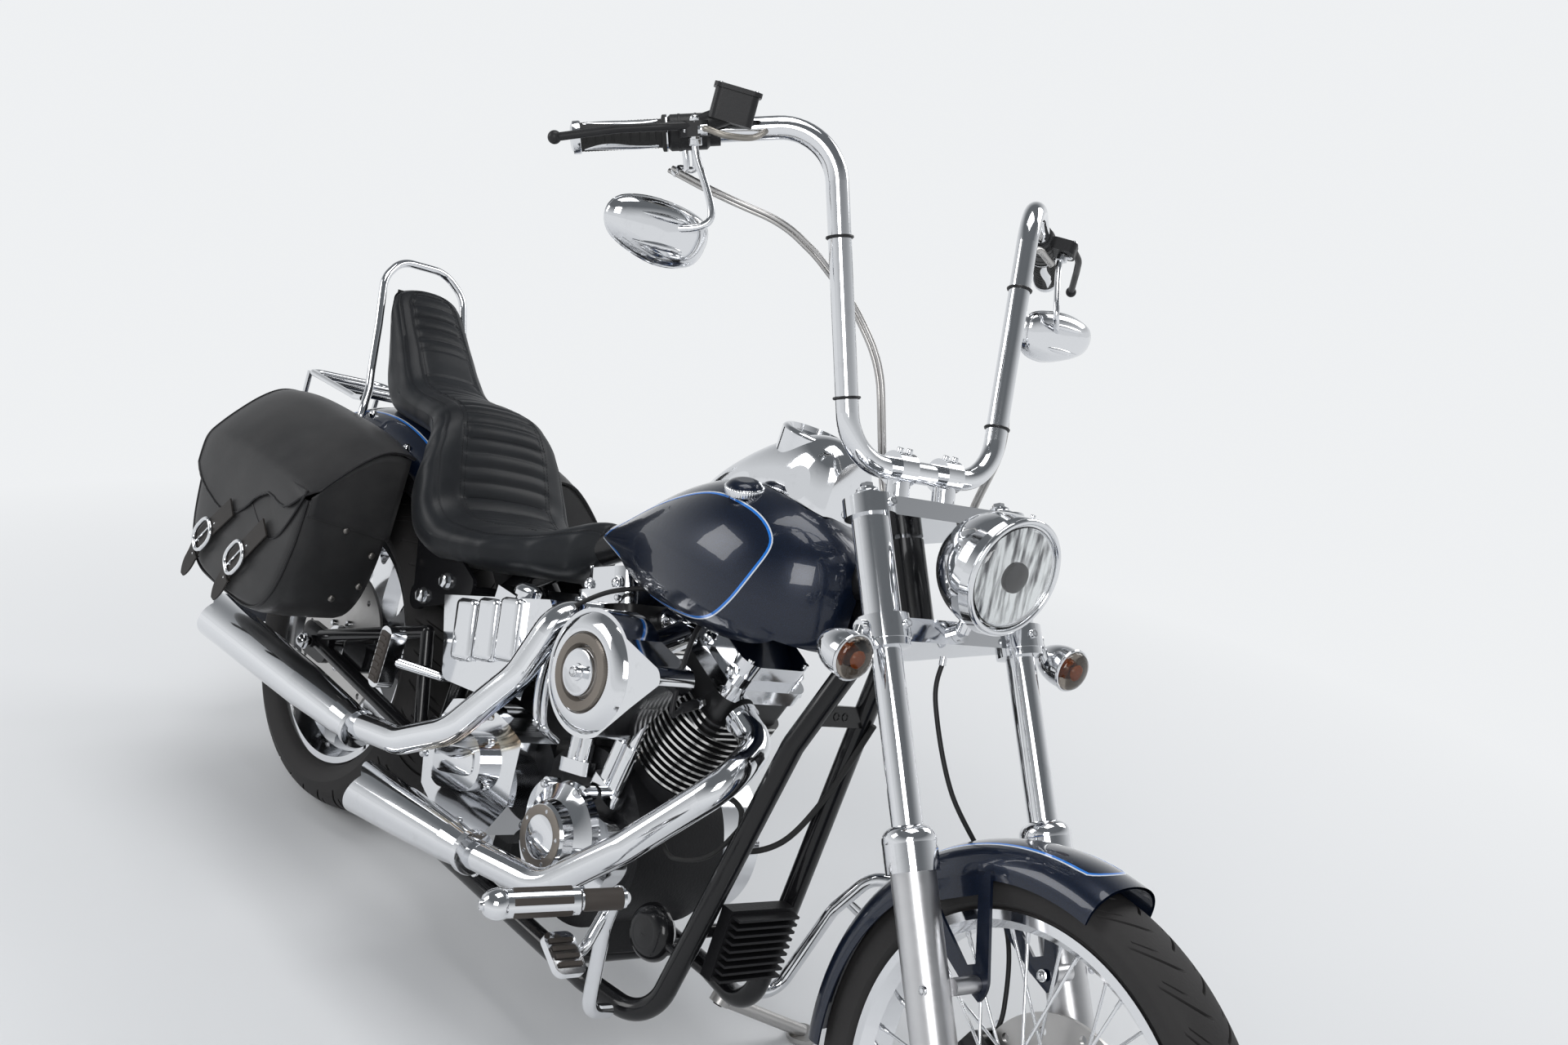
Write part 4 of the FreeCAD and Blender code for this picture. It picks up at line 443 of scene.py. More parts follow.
def makeCamera():
    camera = bpy.data.objects.new("Camera", bpy.data.cameras.new("Camera"))
    bpy.context.scene.collection.objects.link(camera)
    forward = Vector(view["forward"]).normalized()
    right = forward.cross(Vector(view["up"])).normalized()
    up = right.cross(forward)
    turn = Matrix((right, up, -forward)).transposed().to_4x4()
    camera.matrix_world = upright @ Matrix.Translation(view["place"]) @ turn
    camera.data.lens = view["lens"]
    camera.data.sensor_width = view["sensor"]
    camera.data.clip_end = 90
    bpy.context.scene.camera = camera


makeCamera()

# Studio: a pale floor, a pale backdrop that only camera, glossy and glass rays see, and soft lamps
studio = {
    "floor": (0.80, 0.81, 0.82), "floorSize": 60.0, "fade": (0.8, 2.9),
    "backdrop": (0.86, 0.875, 0.89), "sky": (0.80, 0.84, 0.90), "skyStrength": 0.32,
    "horizon": (0.76, 0.775, 0.79),
    "ceiling": (0.15, 0.16, 0.17),
    "lamps": [
        # place, power in watts, size in metres
        ((3.6, -3.6, 3.4), 105, 2.2), ((-2.8, -3.6, 2.8), 60, 2.0),
        ((0.5, 3.8, 3.4), 60, 2.2), ((0.0, 0.0, 5.2), 90, 2.6),
    ],
}


def makeFloor():
    mesh = bpy.data.meshes.new("Floor")
    half = studio["floorSize"] / 2
    mesh.from_pydata([(-half, -half, 0), (half, -half, 0), (half, half, 0), (-half, half, 0)], [],
                     [(0, 1, 2, 3)])
    floor = bpy.data.objects.new("Floor", mesh)
    bpy.context.scene.collection.objects.link(floor)
    shade = Shade("paleFloor")
    grain = shade.noise(3.0, 4.0)
    colour = shade.blend(grain, scaled(studio["floor"], 0.98), studio["floor"])
    shade.surface({"Base Color": colour, "Roughness": 0.75})
    # far from the motorcycle the floor fades into the backdrop
    glow = shade.node("ShaderNodeEmission", {}, {"Color": (*studio["backdrop"], 1), "Strength": 1.0})
    away = shade.node("ShaderNodeVectorMath", {"operation": "LENGTH"}, {0: shade.place()}, out="Value")
    fade = shade.span(away, *studio["fade"])
    mixed = shade.node("ShaderNodeMixShader", {}, {0: fade, 1: Wire(shade, shade.glossy.outputs[0]), 2: glow})
    shade.plug(shade.output.inputs["Surface"], mixed)
    mesh.materials.append(shade.material)


def makeWorld():
    world = bpy.data.worlds.new("Studio")
    world.use_nodes = True
    graph = Graph(world.node_tree)

    def background(colour, strength=1.0):
        return graph.node("ShaderNodeBackground", {}, {"Color": colour, "Strength": strength})

    def ray(kind):
        return graph.node("ShaderNodeLightPath", out=kind)

    def chosen(mask, first, second):
        return graph.node("ShaderNodeMixShader", {}, {0: mask, 1: first, 2: second})

    # the room is pale round the horizon and darker overhead, which gives the chrome its dark bands
    place = graph.node("ShaderNodeTexCoord")
    heading = graph.node("ShaderNodeSeparateXYZ", {}, {0: place}, out="Z")
    room = graph.blend(graph.span(heading, 0.10, 0.62), studio["horizon"], studio["ceiling"])
    glassy = graph.node("ShaderNodeMath", {"operation": "MAXIMUM"},
                        {0: ray("Is Camera Ray"), 1: ray("Is Transmission Ray")})
    shine = chosen(ray("Is Glossy Ray"), background((*studio["sky"], 1), studio["skyStrength"]),
                   background(room))
    everything = chosen(glassy, shine, background((*studio["backdrop"], 1)))
    output = graph.tree.nodes.new("ShaderNodeOutputWorld")
    graph.plug(output.inputs["Surface"], everything)
    bpy.context.scene.world = world


def makeLamps():
    for index, (place, power, size) in enumerate(studio["lamps"]):
        lamp = bpy.data.lights.new("Lamp%d" % index, "AREA")
        lamp.energy = power
        lamp.size = size
        holder = bpy.data.objects.new("Lamp%d" % index, lamp)
        bpy.context.scene.collection.objects.link(holder)
        holder.location = place
        holder.rotation_euler = (Vector((0.1, 0, 0.6)) - Vector(place)).to_track_quat("-Z", "Y").to_euler()


makeFloor()
makeWorld()
makeLamps()
bpy.context.scene.view_settings.view_transform = "Standard"
print("camera and studio ready")


# Finishes that the solids of the frame and the pieces below wear
def chromeFinish(name, tint=(0.75, 0.76, 0.78), rough=0.05, smear=0.06):
    shade = Shade(name)
    haze = shade.noise(9.0, 4.0)
    fine = shade.noise(160.0, 2.0)
    dust = shade.ramp(shade.noise(34.0, 6.0, 0.7), [(0.58, (0, 0, 0)), (0.80, (1, 1, 1))])
    return shade.surface({"Base Color": shade.blend(dust, tint, scaled(tint, 0.88)), "Metallic": 1.0,
                          "Roughness": rough + haze * smear, "Normal": shade.bump(fine, 0.02, 0.0004)})


def brushedFinish(name, tint, rough, scale, stretch=(1, 1, 1)):
    shade = Shade(name)
    grain = shade.noise(scale, 3.0, 0.6, shade.stretched(stretch))
    stain = shade.noise(14.0, 5.0, 0.65)
    return shade.surface({"Base Color": shade.blend(stain, scaled(tint, 0.86), scaled(tint, 1.1)),
                          "Metallic": 1.0,
                          "Roughness": rough + grain * 0.18, "Normal": shade.bump(grain, 0.12, 0.0006)})


def paintFinish(name, deep, flake):
    # metallic paint: small bright flakes in a deep colour under a clear coat, with faint polishing haze
    shade = Shade(name, {"Coat Roughness": 0.03, "Coat IOR": 1.36, "Coat Weight": 1.0, "Metallic": 0.3,
                         "Specular IOR Level": 0.3})
    haze = shade.noise(5.0, 4.0, 0.6)
    return shade.surface({"Base Color": shade.ramp(shade.noise(1400.0, 1.0), [(0.42, deep), (0.78, flake)]),
                          "Roughness": 0.26 + haze * 0.08,
                          "Normal": shade.bump(shade.noise(26.0, 2.0), 0.008, 0.0005)})


def enamelFinish(name, tint, rough, coat=0.25):
    shade = Shade(name, {"Specular IOR Level": 0.25, "Coat Weight": coat})
    haze = shade.noise(12.0, 5.0, 0.6)
    specks = shade.ramp(shade.noise(220.0, 3.0, 0.7), [(0.66, (0, 0, 0)), (0.78, (1, 1, 1))])
    return shade.surface({"Base Color": shade.blend(specks, tint, scaled(tint, 2.2, 0.01)),
                          "Roughness": rough + haze * 0.1, "Normal": shade.bump(haze, 0.02, 0.0005)})


def rubberFinish(name, tint, rough, scale=140.0, depth=0.25):
    shade = Shade(name, {"Specular IOR Level": 0.22})
    dust = shade.noise(7.0, 5.0, 0.6)
    grain = shade.noise(scale, 3.0)
    return shade.surface({"Base Color": shade.blend(dust, tint, scaled(tint, 1.7, 0.006)),
                          "Roughness": rough + dust * 0.15, "Normal": shade.bump(grain, depth, 0.0008)})


def leatherFinish(name, tint, worn, rough, scale, depth):
    # pebbled hide: small cells with soft valleys, a little paler where it has been rubbed
    shade = Shade(name, {"Specular IOR Level": 0.25, "Sheen Weight": 0.04, "Sheen Roughness": 0.45})
    cells = shade.node("ShaderNodeTexVoronoi", {"feature": "SMOOTH_F1"},
                       {"Vector": shade.place(), "Scale": scale, "Smoothness": 0.6}, out="Distance")
    fine = shade.noise(scale * 2.6, 3.0)
    rubbed = shade.ramp(shade.noise(5.5, 5.0, 0.6), [(0.38, (0, 0, 0)), (0.72, (1, 1, 1))])
    return shade.surface({"Base Color": shade.blend(rubbed, tint, worn), "Roughness": rough + fine * 0.12,
                          "Normal": shade.bump(cells * 0.7 + fine * 0.3, depth, 0.0006)})


def glassFinish(name, tint, rough=0.02):
    shade = Shade(name, {"Transmission Weight": 1.0, "IOR": 1.45})
    return shade.surface({"Base Color": (*tint, 1), "Roughness": rough + shade.noise(60.0, 3.0) * 0.02})


def reflectorFinish(name):
    # a lamp's dish: bright metal with long dark and light streaks painted into its colour, a painted reflection of
    # the dark and bright surroundings its facets would mirror
    shade = Shade(name)
    # painted reflection: the dark and bright streaks in the base colour stand in for what the facets mirror
    paintedReflectionStreaks = shade.ramp(shade.noise(1.0, 2.0, 0.5, shade.stretched((90, 90, 16))),
                         [(0.40, (0.07, 0.07, 0.075)), (0.60, (0.80, 0.81, 0.80))])
    return shade.surface({"Base Color": paintedReflectionStreaks, "Metallic": 1.0, "Roughness": 0.09})


finishes = {
    "reflector": reflectorFinish("lampReflector"),
    "chrome": chromeFinish("chromePlate"),
    "rim_chrome": chromeFinish("rimPlate", rough=0.07),
    "mirror": chromeFinish("mirrorPlate", rough=0.03, smear=0.03),
    "mirror_glass": chromeFinish("mirrorGlass", (0.9, 0.91, 0.92), 0.01, 0.01),
    "grey_ring": brushedFinish("greyRing", (0.24, 0.215, 0.19), 0.38, 500.0),
    "steel": brushedFinish("turnedSteel", (0.50, 0.49, 0.48), 0.26, 60.0),
    "slider_aluminium": brushedFinish("brushedLeg", (0.62, 0.62, 0.63), 0.24, 40.0, (1, 1, 8)),
    "polished_aluminium": chromeFinish("polishedAlloy", (0.78, 0.79, 0.8), 0.12),
    "navy_paint": paintFinish("nightPaint", (0.0025, 0.005, 0.013), (0.009, 0.022, 0.060)),
    "blue_line": enamelFinish("lineBlue", (0.01, 0.17, 0.62), 0.25, 1.0),
    "pale_line": enamelFinish("linePale", (0.62, 0.66, 0.70), 0.25, 1.0),
    "frame_black": enamelFinish("blackEnamel", (0.007, 0.007, 0.008), 0.16),
    "engine_black": rubberFinish("wrinkleBlack", (0.006, 0.006, 0.007), 0.36, 260.0, 0.5),
    "rest_rubber": rubberFinish("restRubber", (0.040, 0.034, 0.030), 0.5),
    "rubber": rubberFinish("blackRubber", (0.018, 0.018, 0.018), 0.5),
    "tyre": rubberFinish("tyreRubber", (0.022, 0.021, 0.021), 0.58, 220.0, 0.35),
    "seat_leather": leatherFinish("seatHide", (0.007, 0.008, 0.010), (0.015, 0.017, 0.020), 0.36, 620.0,
                                  0.18),
    "bag_leather": leatherFinish("bagHide", (0.020, 0.020, 0.021), (0.042, 0.041, 0.041), 0.34, 480.0, 0.22),
    "strap": leatherFinish("strapHide", (0.016, 0.014, 0.013), (0.035, 0.030, 0.027), 0.42, 520.0, 0.25),
    "piping": rubberFinish("pipingBlack", (0.010, 0.010, 0.011), 0.3),
    "thread": rubberFinish("seatThread", (0.006, 0.006, 0.007), 0.7),
    "dark_bolt": chromeFinish("darkBolt", (0.20, 0.19, 0.18), 0.30, 0.15),
    "black_plastic": rubberFinish("mouldedBlack", (0.012, 0.012, 0.013), 0.32, 300.0, 0.12),
    "braided": brushedFinish("braidedHose", (0.32, 0.30, 0.27), 0.38, 500.0),
    "red_lens": enamelFinish("redGlass", (0.36, 0.006, 0.008), 0.08, 1.0),
    "lens": glassFinish("clearGlass", (0.97, 0.98, 0.99)),
    "smoked": glassFinish("smokedGlass", (0.25, 0.22, 0.19), 0.03),
    "milk_glass": enamelFinish("bulbGlass", (0.75, 0.76, 0.74), 0.12, 1.0),
    "amber": enamelFinish("amberBulb", (0.70, 0.16, 0.015), 0.15, 1.0),
}
# the slot of each finish that isn't named after its own
for row in frame["record"]["subparts"]:
    solid = nodes[row["node"]]
    solid.data.materials.clear()
    solid.data.materials.append(finishes[row["material_slot"]])
print("finishes on the frame's solids")


# Seat: a padded skin lofted along its top line, with sewn rolls down its middle
seat = {
    # from nose to backrest: top of the pad, bottom of its skirt, half width, half width of the pleated panel
    "stations": [
        ((0.606, 0.752), (0.607, 0.716), 0.020, 0.0), ((0.598, 0.782), (0.597, 0.702), 0.030, 0.0),
        ((0.560, 0.772), (0.560, 0.664), 0.054, 0.0), ((0.500, 0.737), (0.500, 0.646), 0.092, 0.0),
        ((0.430, 0.712), (0.430, 0.626), 0.140, 0.0), ((0.395, 0.706), (0.393, 0.616), 0.152, 0.020),
        ((0.370, 0.702), (0.366, 0.610), 0.158, 0.070), ((0.325, 0.702), (0.310, 0.598), 0.164, 0.094),
        ((0.285, 0.722), (0.262, 0.600), 0.165, 0.096), ((0.262, 0.760), (0.225, 0.608), 0.164, 0.094),
        ((0.238, 0.803), (0.190, 0.640), 0.158, 0.090), ((0.212, 0.840), (0.175, 0.700), 0.142, 0.084),
        ((0.180, 0.864), (0.153, 0.762), 0.124, 0.077), ((0.140, 0.871), (0.120, 0.780), 0.114, 0.072),
        ((0.060, 0.868), (0.060, 0.782), 0.105, 0.066), ((0.010, 0.874), (-0.012, 0.782), 0.101, 0.062),
        ((-0.026, 0.898), (-0.062, 0.785), 0.097, 0.058), ((-0.060, 0.930), (-0.100, 0.808), 0.092, 0.056),
        ((-0.100, 0.964), (-0.134, 0.872), 0.087, 0.054), ((-0.148, 1.004), (-0.166, 0.936), 0.082, 0.050),
        ((-0.170, 1.018), (-0.186, 0.976), 0.074, 0.034), ((-0.184, 1.018), (-0.193, 1.000), 0.062, 0.0),
    ],
    "around": 104, "along": 300, "squareness": 3.4,
    "rollPitch": 0.0285, "rollDepth": 0.0055, "calm": (-0.008, -0.052),
    "seamDepth": 0.0028, "seamWidth": 0.0022, "edgeTurn": 38, "crease": 0.0012,
    "stitchGap": 0.0062, "stitchLength": 0.0040, "stitchOffset": 0.0042,
}


def seatGrid():
    rows = []
    spine = [Vector((*top, *bottom)) for top, bottom, half, panel in seat["stations"]]
    widths = [Vector((top[0], top[1], half, panel)) for top, bottom, half, panel in seat["stations"]]
    path = smoothLine(spine, seat["along"])
    # widths follow the same steps, read off the nearest stretch of stations
    marks = [0.0]
    for first, second in zip(spine, spine[1:]):
        marks.append(marks[-1] + (second - first).length)
    travelled = 0.0
    for index, spot in enumerate(path):
        if index:
            travelled += (spot - path[index - 1]).length
        reached = min(travelled, marks[-1] - 1e-6)
        slot = max(place for place in range(len(marks) - 1) if marks[place] <= reached)
        t = (min(travelled, marks[-1]) - marks[slot]) / (marks[slot + 1] - marks[slot])
        ease = t * t * (3 - 2 * t)
        mixed = widths[slot].lerp(widths[slot + 1], 0.5 * (t + ease))
        rows.append((Vector((spot[0], spot[1])), Vector((spot[2], spot[3])), mixed[2], mixed[3]))
    return rows


def seatRing(top, bottom, half):
    middle, drop = (top + bottom) / 2, (top - bottom) / 2
    ring = []
    for turn in turns(seat["around"]):
        across = signedPower(math.cos(turn), 2 / seat["squareness"])
        rise = signedPower(math.sin(turn), 2 / seat["squareness"])
        spot = middle + drop * rise
        # the crown falls a little towards the sides, and the skirt draws in at the bottom
        sink = 0.010 * across * across if rise > 0 else 0.0
        narrow = 1 - 0.10 * max(0.0, -rise)
        ring.append(Vector((spot.x, across * half * narrow, spot.y - sink)))
    return ring


def buildSeat():
    rows = seatGrid()
    rings = [seatRing(top, bottom, half) for top, bottom, half, panel in rows]
    count, total = seat["around"], len(rings)
    travelled, shaped = [0.0], []
    for first, second in zip(rows, rows[1:]):
        travelled.append(travelled[-1] + (second[0] - first[0]).length)
    for row in range(total):
        before, after = beside(rings, row)
        ring = []
        top, bottom, half, panel = rows[row]
        for place in range(count):
            spot = rings[row][place]
            along = after[place] - before[place]
            normal = along.cross(rings[row][(place + 1) % count] - rings[row][place - 1])
            normal = normal.normalized() if normal.length > 1e-9 else Vector((0, 0, 1))
            outward = spot - Vector(((top.x + bottom.x) / 2, 0, (top.y + bottom.y) / 2))
            if normal.dot(outward) < 0:
                normal = -normal
            turn = math.degrees(math.tau * place / count)
            sink = 0.0
            if turn < 180 and panel > 0.004:
                side = abs(spot.y)
                inPanel = within(panel - side, 0.0, 0.006)
                calm = seat["calm"][1] < top.x < seat["calm"][0]
                beat = (travelled[row] / seat["rollPitch"]) % 1.0
                roll = 1 - math.sqrt(max(0.0, 1 - (2 * beat - 1) ** 2))
                sink += 0.0 if calm else roll * seat["rollDepth"] * inPanel
                sink += seat["seamDepth"] * math.exp(-((side - panel) / seat["seamWidth"]) ** 2)
            shoulder = abs(min(turn, 180 - turn)) if turn <= 180 else 90
            reach = math.radians(shoulder - seat["edgeTurn"]) * half
            sink += 0.0018 * math.exp(-(reach / 0.0026) ** 2) if turn <= 180 else 0.0
            swell = (noise.noise(spot * 9.0) + noise.noise(spot * 31.0) * 0.35) * seat["crease"]
            ring.append(spot + normal * (swell - sink))
        shaped.append(ring)
    form = Form()
    form.rings(shaped)
    return form, shaped, rows


def surfaceSpot(rings, row, place):
    low, high = int(place) % len(rings[0]), (int(place) + 1) % len(rings[0])
    return rings[row][low].lerp(rings[row][high], place - int(place))


def placeAt(ring, side, half):
    # where on the top half of a ring the surface reaches a distance sideways
    quarter = len(ring) // 4
    for step in range(quarter + 1):
        place = quarter - step if side > 0 else quarter + step
        if abs(ring[place].y) >= half:
            inner = ring[place + 1] if side > 0 else ring[place - 1]
            span = abs(ring[place].y) - abs(inner.y)
            share = (abs(ring[place].y) - half) / span if span > 1e-9 else 0.0
            return place + share if side > 0 else place - share
    return None


def stitchRow(form, line, length, gap, thick):
    # short threads laid along a line of surface points
    travelled, goal = 0.0, 0.0
    for first, second in zip(line, line[1:]):
        step = (second - first).length
        if step < 1e-6 or step > 0.02:
            continue
        ahead = (second - first) / step
        while goal < travelled + step:
            spot = first + ahead * (goal - travelled)
            side, up = axes(ahead)[:2]
            ring = [spot - ahead * length / 2, spot + ahead * length / 2]
            sides = [(side * x + up * y) * thick for x, y in ((1, 0), (0, 1), (-1, 0), (0, -1))]
            points = [end + away for end in ring for away in sides]
            form.add(points, [(0, 1, 5, 4), (1, 2, 6, 5), (2, 3, 7, 6), (3, 0, 4, 7), (3, 2, 1, 0),
                              (4, 5, 6, 7)])
            goal += gap
        travelled += step


def seatStitches(rings, rows):
    form = Form()
    for side in (1, -1):
        for offset in (-seat["stitchOffset"], seat["stitchOffset"]):
            line = []
            for row, panel in enumerate(stretch[-1] for stretch in rows):
                if panel > 0.012:
                    place = placeAt(rings[row], side, panel + offset)
                    if place is not None:
                        line.append(surfaceSpot(rings, row, place))
            stitchRow(form, line, seat["stitchLength"], seat["stitchGap"], 0.0006)
        edge = seat["around"] * (seat["edgeTurn"] + 3) / 360
        place = edge if side > 0 else seat["around"] / 2 - edge
        line = [surfaceSpot(rings, row, place) for row in range(8, len(rings) - 8)]
        stitchRow(form, line, seat["stitchLength"], seat["stitchGap"], 0.0005)
    return form


seatForm, seatRings, seatRows = buildSeat()
seatPiece = makePiece("seat_cover", seatForm, "seat_leather", sharp=60, stands=("seat",))
makePiece("seat_stitching", seatStitches(seatRings, seatRows), "thread")
print("seat:", len(seatForm.faces), "faces")


# Saddlebags: a hollow leather body, a domed lid with a scalloped flap, and two slanted straps a side
bag = {
    "inner": 0.1505, "outer": 0.3285, "floor": 0.396, "rise": 0.366, "drop": 0.104,
    "front": 0.180, "rear": -0.250, "wall": 0.0042, "endDrop": 0.020,
    "outline": [(0.180, 0.70), (0.178, 0.62), (0.172, 0.545), (0.150, 0.468), (0.112, 0.418), (0.060, 0.397),
                (-0.020, 0.3945), (-0.100, 0.3945), (-0.152, 0.400), (-0.196, 0.422), (-0.226, 0.466),
                (-0.242, 0.530), (-0.249, 0.62), (-0.250, 0.70)],
    "layers": [(0.0, 0.012), (0.006, 0.003), (0.016, 0.0), (0.060, -0.002), (0.110, -0.003), (0.150, -0.001),
               (0.166, 0.002), (0.174, 0.007), (0.178, 0.014)],
    "pillow": 0.007, "steps": 72, "facePlaces": 30,
    "lidProfile": [(0.1525, 0.7700), (0.180, 0.7765), (0.215, 0.7720), (0.250, 0.7510), (0.285, 0.7200),
                   (0.315, 0.6880), (0.3330, 0.6620), (0.3375, 0.6300), (0.3372, 0.5750), (0.3365, 0.5350)],
    "flapEdge": [(-0.254, 0.585), (-0.215, 0.560), (-0.150, 0.540), (-0.085, 0.536), (-0.030, 0.560),
                 (0.015, 0.598),
                 (0.058, 0.618), (0.105, 0.612), (0.140, 0.624), (0.184, 0.668)],
    "underEdge": [(-0.020, 0.590), (0.030, 0.560), (0.080, 0.543), (0.115, 0.556), (0.145, 0.600),
                  (0.170, 0.650)],
    "straps": [[(-0.062, 0.552), (-0.110, 0.500), (-0.148, 0.456), (-0.164, 0.412), (-0.171, 0.380)],
               [(0.078, 0.560), (0.034, 0.506), (-0.003, 0.461), (-0.021, 0.414), (-0.028, 0.383)]],
    "strapWidth": 0.036, "strapThick": 0.0035, "buckle": (0.066, 0.050, 0.0042),
    "rivets": [(0.168, 0.242, 0.600), (0.171, 0.180, 0.560), (0.171, 0.188, 0.500), (0.163, 0.230, 0.470)],
}


def bagEnds(along, longer=0.0):
    # 0 at the middle of the bag and 1 at its ends
    middle, half = (bag["front"] + bag["rear"]) / 2, (bag["front"] - bag["rear"]) / 2 + longer
    return abs((along - middle) / half)


def bagTop(side, along):
    # how high the open top of the body is, lower towards its ends
    share = (side - bag["inner"]) / (bag["outer"] - bag["inner"])
    return bag["floor"] + bag["rise"] - bag["drop"] * share - bag["endDrop"] * bagEnds(along) ** 3


def bagBody():
    outline = smoothLine(bag["outline"], bag["steps"])
    rings = []
    for depth, inset in bag["layers"]:
        side = bag["inner"] + depth
        ring = []
        for place, spot in enumerate(outline):
            before, after = beside(outline, place)
            ahead = (after - before).normalized()
            moved = spot + Vector((ahead.y, -ahead.x)) * inset
            stretch = within(moved.y, 0.54, 0.70)
            high = moved.y + stretch * (bagTop(side, moved.x) - 0.70)
            ring.append(Vector((moved.x, side, high)))
        rings.append(ring)
    form = Form()
    form.sheet(rings)
    # front and back panels span between the two sides of the outline, and the front one swells
    for ring, swell in ((rings[0], 0.0), (rings[-1], bag["pillow"])):
        half = len(ring) // 2
        grid = []
        for row in range(half):
            first, last = ring[row], ring[-1 - row]
            line = []
            for step in range(bag["facePlaces"] + 1):
                share = step / bag["facePlaces"]
                spot = first.lerp(last, share)
                taper = math.sin(math.pi * within(row, 0, 2 * half - 1) ** 0.8) ** 0.5
                spread = math.sin(math.pi * share) ** 0.6 * taper
                fold = noise.noise(spot * 11.0) * 0.002 if swell else 0.0
                inside = 0 < step < bag["facePlaces"]
                lift = (bagTop(spot.y, spot.x) - spot.z) * within(6 - row, 0, 6) if inside else 0
                line.append(spot + Vector((0, (swell + fold) * spread, lift)))
            grid.append(line)
        form.sheet(grid)
    return form, rings


def lidSpot(across, along):
    # a point of the lid's outer face: across runs from the hinge to the flap's edge
    place = across * (len(bagLidLine) - 1)
    low = min(int(place), len(bagLidLine) - 2)
    side, high = bagLidLine[low].lerp(bagLidLine[low + 1], place - low)
    ends = bagEnds(along, 0.004)
    return Vector((along, side - 0.004 * ends ** 8, high - bag["endDrop"] * ends ** 3))


def edgeHeight(line, along):
    for first, second in zip(line, line[1:]):
        if first[0] <= along <= second[0]:
            t = (along - first[0]) / (second[0] - first[0])
            return first[1] + (second[1] - first[1]) * t
    return line[0][1] if along < line[0][0] else line[-1][1]


def bagLid():
    edge = smoothLine(bag["flapEdge"], 90)
    columns, acrossSteps = 84, 60
    grid, border = [], []
    for column in range(columns + 1):
        along = bag["rear"] - 0.004 + (bag["front"] - bag["rear"] + 0.008) * column / columns
        stop = edgeHeight(edge, along)
        line = [lidSpot(step / 200, along) for step in range(201)]
        cut = next((step for step in range(100, 201) if line[step].z <= stop), 200)
        reach = cut / 200
        row = []
        for step in range(acrossSteps + 1):
            spot = lidSpot(reach * step / acrossSteps, along)
            sag = noise.noise(Vector((spot.x * 7, spot.y * 7, spot.z * 4))) * 0.0022 * within(step, 4, 20)
            row.append(spot + Vector((0, sag, sag * 0.6)))
        grid.append(row)
        border.append(row[-1])
    form = Form()
    form.sheet(grid)
    rim = [grid[0][step] for step in range(acrossSteps)] + border
    rim += [grid[-1][step] for step in range(acrossSteps - 1, -1, -1)]
    return form, rim


def underFlap():
    edge = smoothLine(bag["underEdge"], 40)
    grid, border = [], []
    for column in range(41):
        along = -0.020 + 0.190 * column / 40
        low = edgeHeight(edge, along)
        row = [Vector((along, 0.3318 + 0.001 * step / 10, 0.66 - (0.66 - low) * step / 10))
               for step in range(11)]
        grid.append(row)
        border.append(row[-1])
    form = Form()
    form.sheet(grid)
    return form, border


def strapLine(corners):
    # a strap bulges a little off the lid and stands away at its loose end
    spots = []
    for index, (along, high) in enumerate(smoothLine(corners, 40)):
        share = index / 39
        side = 0.3400 + 0.003 * math.sin(math.pi * share) + 0.006 * within(share, 0.78, 1.0)
        spots.append(Vector((along, side, high)))
    return spots


def bagStraps():
    straps, metal = Form(), Form()
    for corners in bag["straps"]:
        line = strapLine(corners)

        def across(index):
            before, after = beside(line, index)
            return (after - before).cross(toLeft).normalized(), toLeft

        def width(index):
            # the loose end is rounded
            end = 1 if index < 33 else max(0.15, math.cos((index - 33) / 6.6 * math.pi / 2) ** 0.6)
            return bag["strapWidth"] * end

        straps.ribbon(line, across, width, bag["strapThick"])
        middle = line[20] + toLeft * 0.004
        sideways, normal = across(20)
        ahead = normal.cross(sideways)
        long, wide, thick = bag["buckle"]
        loop = [middle + ahead * signedPower(math.cos(turn), 0.75) * long / 2
                + sideways * signedPower(math.sin(turn), 0.75) * wide / 2 for turn in turns(40)]
        metal.tube(loop, thick, 10, closed=True)
        metal.tube([middle - ahead * long * 0.5, middle - ahead * 0.002, middle + ahead * long * 0.46],
                   0.0016, 8)
        # a keeper loop and the holes of the strap
        keeper = [line[27] + sideways * 0.021 * x + normal * (0.0035 if y else -0.002)
                  for x, y in ((-1, 0), (-1, 1), (1, 1), (1, 0))]
        straps.tube(smoothLine(keeper, 12), 0.0022, 8)
        for hole in (12, 16, 24, 30):
            metal.button(line[hole] + normal * 0.0012, normal, 0.0024, 0.0008)
    return straps, metal


def gussetFlap():
    # a short panel over the front of the body, with its lower edge sloping outwards
    grid = []
    for row in range(13):
        share = row / 12
        line = []
        for step in range(15):
            side = bag["inner"] + 0.004 + 0.170 * step / 14
            low = 0.590 + 0.026 * within(step, 0, 14)
            high = next(spot.y for spot in bagLidLine if spot.x >= side) - bag["endDrop"] - 0.006
            swell = 0.0028 + 0.001 * math.sin(share * 3)
            line.append(Vector((bag["front"] + swell, side, high + (low - high) * share)))
        grid.append(line)
    form = Form()
    form.sheet(grid)
    return form


bagLidLine = [Vector(spot) for spot in smoothLine(bag["lidProfile"], 48)]


